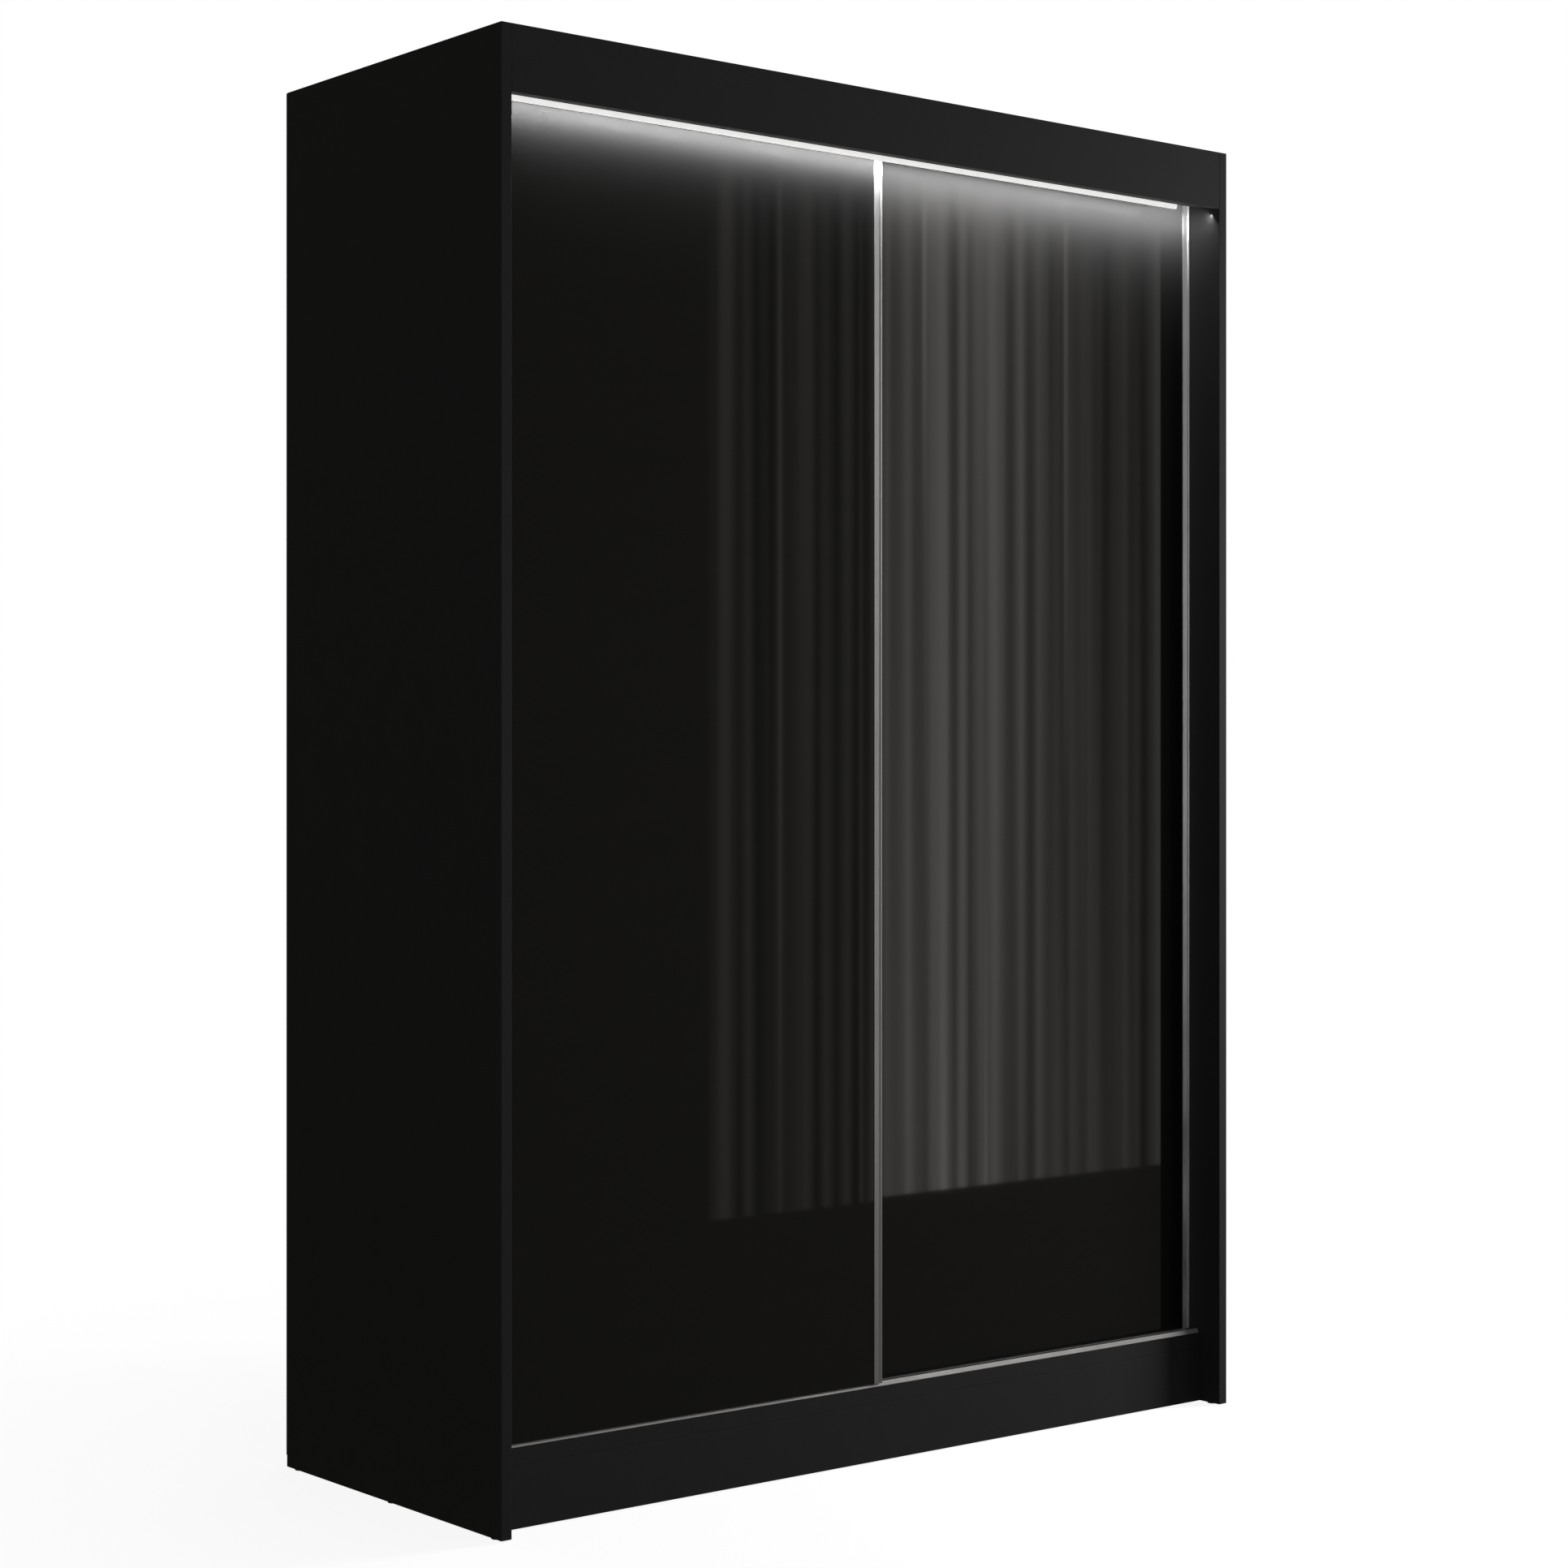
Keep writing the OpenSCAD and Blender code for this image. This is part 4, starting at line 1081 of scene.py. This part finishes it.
class BuildWheels(bpy.types.Operator):
    """Grooved bottom rollers and top guide wheels"""

    bl_idname = "wardrobe.build_wheels"
    bl_label = "Wheels"

    def execute(self, context):
        for side in SIDES:
            for place in ("outer", "inner"):
                self.build_roller(f"{side}_roller_{place}")
                self.build_guide(f"{side}_guide_{place}")
        return {"FINISHED"}

    def spoked(self, hub, rim, depth):
        """Sinks both side faces between hub and rim, except at the spokes: the depth follows a
        bell across the radius and a wave round the axis."""
        count = shapes().spokes

        def lift(angle, radius, height):
            across = np.clip((radius - hub) / (rim - hub), 0, 1)
            bell = np.sin(np.pi * across) ** 0.5
            wave = np.clip(0.5 + 1.2 * np.cos(count * angle), 0, 1)
            sunk = depth * bell * wave
            return height - np.sign(height) * sunk

        return lift

    def build_roller(self, node):
        """Wheel with a round groove in its rim, turned round an axis along Y."""
        low, high = box(node)
        centre = (low + high) / 2
        radius, half = (high[Z] - low[Z]) / 2, (high[Y] - low[Y]) / 2
        bore, groove, run = 2.05 * MM, 2.1 * MM, 10.5 * MM
        ease, hub, rim = 0.3 * MM, 4.8 * MM, 9.6 * MM
        lip = math.acos((radius - run - groove) / groove)
        web = np.linspace(rim, hub, 5)
        face = [(r, half) for r in (radius - ease, *web, bore + ease)]
        upper = np.array([(radius, half - ease), *face, (bore, half - ease)])
        lower = upper[::-1] * (1, -1)
        groove_line = arc((run + groove, 0), groove, lip, 2 * math.pi - lip, 12)
        profile = np.vstack([lower, groove_line[::-1], upper])
        spokes = self.spoked(4.2 * MM, 9.8 * MM, 0.9 * MM)
        wheel = turned(profile, centre, Y, around=60, lift=spokes)
        wheel.values["rim"] = self.rim_of(wheel, centre, Y, run, radius)
        make_piece(node + "_wheel", wheel, nylon(), node, [node])

    def build_guide(self, node):
        """Guide wheel with eased rims, turned round an upright axis."""
        low, high = box(node)
        centre = (low + high) / 2
        radius, half = (high[X] - low[X]) / 2, (high[Z] - low[Z]) / 2
        bore, ease, hub, rim = 2.55 * MM, 1 * MM, 4.6 * MM, 8.2 * MM
        tread = arc((radius - ease, half - ease), ease, 0, QUARTER, 4)
        face = [(r, half) for r in (*np.linspace(rim, hub, 4), bore)]
        upper = np.vstack([tread, face])
        profile = np.vstack([upper[::-1] * (1, -1), upper])
        spokes = self.spoked(4 * MM, 8.8 * MM, 1.2 * MM)
        wheel = turned(profile, centre, Z, around=60, lift=spokes)
        wheel.values["rim"] = self.rim_of(wheel, centre, Z, radius - ease, radius)
        make_piece(node + "_wheel", wheel, nylon(), node, [node])

    def rim_of(self, wheel, centre, axis, start, stop):
        """Value rim: how far a point lies from the running radius towards the outside."""
        across = np.delete(wheel.points - centre, axis, 1)
        return np.clip((np.linalg.norm(across, axis=1) - start) / (stop - start) + 0.6, 0, 1)


class BuildBrushes(bpy.types.Operator):
    """Dust brushes under the doors, with a holder and rows of tufts"""

    bl_idname = "wardrobe.build_brushes"
    bl_label = "Brushes"

    def execute(self, context):
        for number, side in enumerate(SIDES):
            self.build_brush(side, np.random.default_rng(40 + number))
        return {"FINISHED"}

    def build_brush(self, side, random):
        """Holder strip with tufts: each tuft is a four-sided spike whose foot leans a little."""
        node = side + "_door_brush"
        low, high = box(node)
        strip_h, sunk, set_back = 1.5 * MM, 0.2 * MM, 17.75 * MM
        holder = rounded_box((low[X], low[Y], high[Z] - strip_h), high, 0.3 * MM, 1)
        face = box(side + "_door_glass")[0][Y] - shapes().profile_wall
        middle, thick = face + set_back, 0.75 * MM
        count = int((high[X] - low[X]) / shapes().tuft_pitch)
        x = np.linspace(low[X] + thick, high[X] - thick, count)
        root = np.stack([x, np.full(count, middle), np.full(count, high[Z] - strip_h + sunk)], -1)
        lean = random.normal(0, 0.35 * MM, (count, 2)).clip(-0.8 * MM, 0.8 * MM)
        corner = np.array([(1, 0), (0, 1), (-1, 0), (0, -1)]) * (0.95 * MM, thick)
        levels = []
        for share, spread in ((0, 0.7), (0.35, 0.9), (0.8, 1.0), (1, 0.75)):
            ring = np.empty((count, 4, 3))
            ring[..., :2] = root[:, None, :2] + lean[:, None] * share**2 + corner * spread
            ring[..., 2] = root[:, None, 2] + share * (low[Z] - root[:, None, 2])
            levels.append(ring)
        points = np.stack(levels, 1)
        side_faces = grid_quads(len(levels), 4, close_columns=True)
        tip = 4 * (len(levels) - 1) + np.arange(4)
        faces = np.vstack([side_faces, [[3, 2, 1, 0]], [tip]])
        steps = np.arange(count)[:, None, None] * points.shape[1] * 4
        shade = np.repeat(random.uniform(0, 1, count), points.shape[1] * 4)
        tufts = Surface(points.reshape(-1, 3), (faces[None] + steps).reshape(-1, 4), tuft=shade)
        holder.values = {"tuft": np.zeros(len(holder.points))}
        brush = joined([holder, tufts])
        make_piece(node + "_bristles", brush, brush_fibre(), side + "_door", [node])


# ---------- studio ----------


def emitter(name, build):
    """Material that only shines: build(tree) returns its colour and strength."""
    made = bpy.data.materials.new(name)
    made.use_nodes = True
    tree = made.node_tree
    tree.nodes.clear()
    colour, strength = build(tree)
    light = put(tree, "ShaderNodeEmission", {"Color": colour, "Strength": strength})
    put(tree, "ShaderNodeOutputMaterial", {"Surface": light.outputs["Emission"]})
    return made


class BuildStage(bpy.types.Operator):
    """Camera, pale floor and soft studio light"""

    bl_idname = "wardrobe.build_stage"
    bl_label = "Studio"

    CAMERA = (-3.1848, -3.8983, 1.0984)
    YAW = math.radians(38.833)
    SHIFT = (0.01786, -0.01188)
    ROOM = (0.088, 0.084, 0.077, 1)
    WHITE = (1, 1, 1, 1)
    SCREEN = ((1.37, -2.45, 0.0), (2.98, -2.44, 2.85))

    def execute(self, context):
        scene = context.scene
        scene.view_settings.view_transform = "Standard"
        self.build_camera(scene)
        self.build_world(scene)
        self.build_floor()
        self.build_screen()
        self.build_lights()
        return {"FINISHED"}

    def build_camera(self, scene):
        data = bpy.data.cameras.new("camera")
        data.sensor_width = 36
        data.lens = scene.wardrobe_stage.lens
        data.shift_x, data.shift_y = self.SHIFT
        camera = bpy.data.objects.new("camera", data)
        camera.location = self.CAMERA
        camera.rotation_euler = (QUARTER, 0, -self.YAW)
        scene.collection.objects.link(camera)
        scene.camera = camera

    def build_world(self, scene):
        """White behind the object, and a dim room for everything that the light reaches."""
        world = bpy.data.worlds.new("studio")
        world.use_nodes = True
        tree = world.node_tree
        tree.nodes.clear()
        seen = put(tree, "ShaderNodeLightPath").outputs["Is Camera Ray"]
        room = put(tree, "ShaderNodeBackground", {"Color": self.ROOM, "Strength": 1.0})
        white = put(tree, "ShaderNodeBackground", {"Color": self.WHITE, "Strength": 1.0})
        both = put(tree, "ShaderNodeMixShader", {0: seen, 1: room.outputs[0], 2: white.outputs[0]})
        put(tree, "ShaderNodeOutputWorld", {"Surface": both.outputs[0]})
        scene.world = world

    def add_backdrop(self, name, surface, finish):
        """Adds a piece of the studio, which isn't part of the wardrobe."""
        mesh = mesh_of(name, surface)
        mesh.materials.append(finish)
        piece = bpy.data.objects.new(name, mesh)
        bpy.context.scene.collection.objects.link(piece)
        return piece

    def build_floor(self):
        """Pale disc just below the glides."""
        inner, outer, thick, gap = 2.0, 8.0, 0.01, 0.1 * MM
        profile = [(0, -thick), (outer, -thick), (outer, 0), (inner, 0), (0, 0)]
        disc = turned(profile, (0, 0, -gap), Z, around=96, ring=False)
        floor = self.add_backdrop("floor", disc, self.pale_floor())
        floor.visible_glossy = False
        floor.visible_diffuse = False

    def pale_floor(self):
        """Matt paint that turns into plain white away from the wardrobe."""
        paint_colour = bpy.context.scene.wardrobe_stage.floor_colour
        made = bpy.data.materials.new("pale_floor")
        made.use_nodes = True
        tree = made.node_tree
        tree.nodes.clear()
        where = put(tree, "ShaderNodeTexCoord").outputs["Object"]
        distance = put(tree, "ShaderNodeVectorMath", {0: where}, operation="LENGTH").outputs["Value"]
        away = ranged(tree, distance, 0.9, 1.0, 0.8, 2.0)
        paint = put(tree, "ShaderNodeBsdfDiffuse", {"Color": rgba(paint_colour)})
        white = put(tree, "ShaderNodeEmission", {"Color": self.WHITE, "Strength": 1.0})
        both = put(tree, "ShaderNodeMixShader", {0: away, 1: paint.outputs[0], 2: white.outputs[0]})
        put(tree, "ShaderNodeOutputMaterial", {"Surface": both.outputs[0]})
        return made

    def build_screen(self):
        """Tall curtain of soft light, seen only as a reflection in gloss and metal. Its
        strength is the folds' (two noises along X) times a rise at the left and a fall at the
        right."""

        def build(tree):
            where = put(tree, "ShaderNodeTexCoord").outputs["Object"]
            parts = put(tree, "ShaderNodeSeparateXYZ", {"Vector": where}).outputs
            folds = []
            for pitch, detail in ((16.0, 2.0), (30.0, 1.0)):
                stretch = {0: where, 1: (pitch, 0.0, 0.1)}
                squeezed = put(tree, "ShaderNodeVectorMath", stretch, operation="MULTIPLY")
                inputs = {"Vector": squeezed.outputs["Vector"], "Scale": 1.0, "Detail": detail}
                folds.append(put(tree, "ShaderNodeTexNoise", inputs).outputs["Fac"])
            broad = ranged(tree, folds[0], 0.12, 0.75, 0.38, 0.66)
            crests = ranged(tree, folds[1], 0.0, 1.3, 0.62, 0.72)
            fold = maths(tree, "ADD", broad, crests)
            rise = ranged(tree, parts["X"], 0.45, 2.5, 1.86, 2.1)
            fall = ranged(tree, parts["X"], 1.0, 0.3, 2.1, 2.75)
            strength = maths(tree, "MULTIPLY", fold, maths(tree, "MULTIPLY", rise, fall))
            return (1.0, 0.95, 0.9, 1), strength

        sheet = rounded_box(*self.SCREEN, 2 * MM, 1)
        screen = self.add_backdrop("screen", sheet, emitter("screen_glow", build))
        screen.visible_camera = False
        screen.visible_diffuse = False
        screen.visible_shadow = False

    def build_lights(self):
        """Soft lights, streaks that only the metal shows, and the light bar's glow, which has
        one strip for each pane, one for the metal and one for all the rest."""
        settings = bpy.context.scene.wardrobe_stage
        pieces = bpy.data.objects
        panes = [pieces[side + "_door_pane"] for side in SIDES]
        cover = [pieces["light_cover"]]
        metal = [piece for piece in pieces if piece.name.endswith("_extrusion")]
        metal.append(pieces["bottom_rail"])

        front = (0.2, -0.3, 1.1)
        key = self.add_area("key", (2.3, -0.9, 1.3), front, (0.6, 0.6), settings.key_power)
        fill = self.add_area("front_fill", (-1.5, -3.0, 1.1), front, (1.5, 1.5), 21.0)
        side = self.add_area("side_fill", (-3.6, 0.2, 1.2), (-0.75, 0, 1.0), (1.5, 1.8), 3.0)
        self.add_area("top_soft", (0, 0.6, 4.6), (0, 0.6, 0), (3.0, 3.0), 120.0)
        self.limit(key, cover + metal, "EXCLUDE")
        for light in (fill, side):
            self.limit(light, cover, "EXCLUDE")

        edge = pieces["right_door_profile_outer_extrusion"]
        rest = [piece for piece in metal if piece != edge]
        for name, power, reached in (("edge_streak", 50.0, [edge]), ("metal_streak", 8.0, rest)):
            streak = self.add_area(name, (2.5, -2.44, 2.2), (0.4, -0.25, 1.6), (2.2, 1.4), power)
            streak.visible_glossy = True
            self.limit(streak, reached, "INCLUDE")
            linking = streak.light_linking
            linking.blocker_collection = linking.receiver_collection

        glows = (
            ("left_pane_glow", 3.4, QUARTER, panes[:1], "INCLUDE"),
            ("right_pane_glow", 4.8, QUARTER, panes[1:], "INCLUDE"),
            ("metal_glow", 0.08, QUARTER / 2, metal, "INCLUDE"),
            ("board_glow", 0.08, QUARTER / 2, panes + cover + metal, "EXCLUDE"),
        )
        for name, share, tilt, reached, state in glows:
            glow = self.add_glow(name, settings.glow_power * share, tilt)
            glow.visible_glossy = not name.endswith("pane_glow")
            self.limit(glow, reached, state)

    def add_area(self, name, place, target, size, power):
        """Rectangular light at a place, turned to a target and not seen itself."""
        data = bpy.data.lights.new(name, "AREA")
        data.shape = "RECTANGLE"
        data.size, data.size_y = size
        data.energy = power
        light = bpy.data.objects.new(name, data)
        light.location = place
        light.rotation_euler = (Vector(target) - Vector(place)).to_track_quat("-Z", "Y").to_euler()
        light.visible_camera = False
        light.visible_glossy = False
        bpy.context.scene.collection.objects.link(light)
        return light

    def add_glow(self, name, power, tilt):
        """Strip of light along the fascia, just in front of and below the light bar; a tilt of
        0 faces down and a quarter turn faces the doors."""
        bar = box("led_diffuser")[0]
        low, high = box("fascia")
        place = (0, bar[Y] - 2 * MM, bar[Z] - 3 * MM)
        light = self.add_area(name, place, place, (high[X] - low[X], 4 * MM), power)
        light.rotation_euler = (tilt, 0, 0)
        light.visible_glossy = True
        return light

    def limit(self, light, pieces, state):
        """Makes a light reach only the given pieces (INCLUDE) or all but them (EXCLUDE)."""
        receivers = bpy.data.collections.new(light.name + "_receivers")
        for piece in pieces:
            receivers.objects.link(piece)
        for entry in receivers.collection_objects:
            entry.light_linking.link_state = state
        light.light_linking.receiver_collection = receivers


class WardrobePanel(bpy.types.Panel):
    """Sidebar panel with the settings and a button for each step"""

    bl_idname = "VIEW3D_PT_wardrobe"
    bl_label = "Sliding Door Wardrobe"
    bl_space_type = "VIEW_3D"
    bl_region_type = "UI"
    bl_category = "Wardrobe"

    def draw(self, context):
        for group_name, kind in SETTINGS.items():
            settings = getattr(context.scene, group_name)
            for name in kind.__annotations__:
                self.layout.prop(settings, name)
        for step in STEPS:
            self.layout.operator(step.bl_idname)


STEPS = (
    BuildBoards, BuildBack, BuildInterior, BuildTracks, BuildLightBar,
    BuildDoors, BuildWheels, BuildBrushes, BuildStage,
)
SETTINGS = {
    "wardrobe_shapes": WardrobeShapes,
    "wardrobe_finishes": WardrobeFinishes,
    "wardrobe_stage": WardrobeStage,
}


def register():
    for kind in (*SETTINGS.values(), *STEPS, WardrobePanel):
        bpy.utils.register_class(kind)
    for name, kind in SETTINGS.items():
        setattr(bpy.types.Scene, name, PointerProperty(type=kind))


def unregister():
    for name in SETTINGS:
        delattr(bpy.types.Scene, name)
    for kind in reversed((*SETTINGS.values(), *STEPS, WardrobePanel)):
        bpy.utils.unregister_class(kind)


def main():
    """Registers the add-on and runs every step."""
    register()
    for step in STEPS:
        category, name = step.bl_idname.split(".")
        getattr(getattr(bpy.ops, category), name)()


if __name__ == "__main__":
    main()
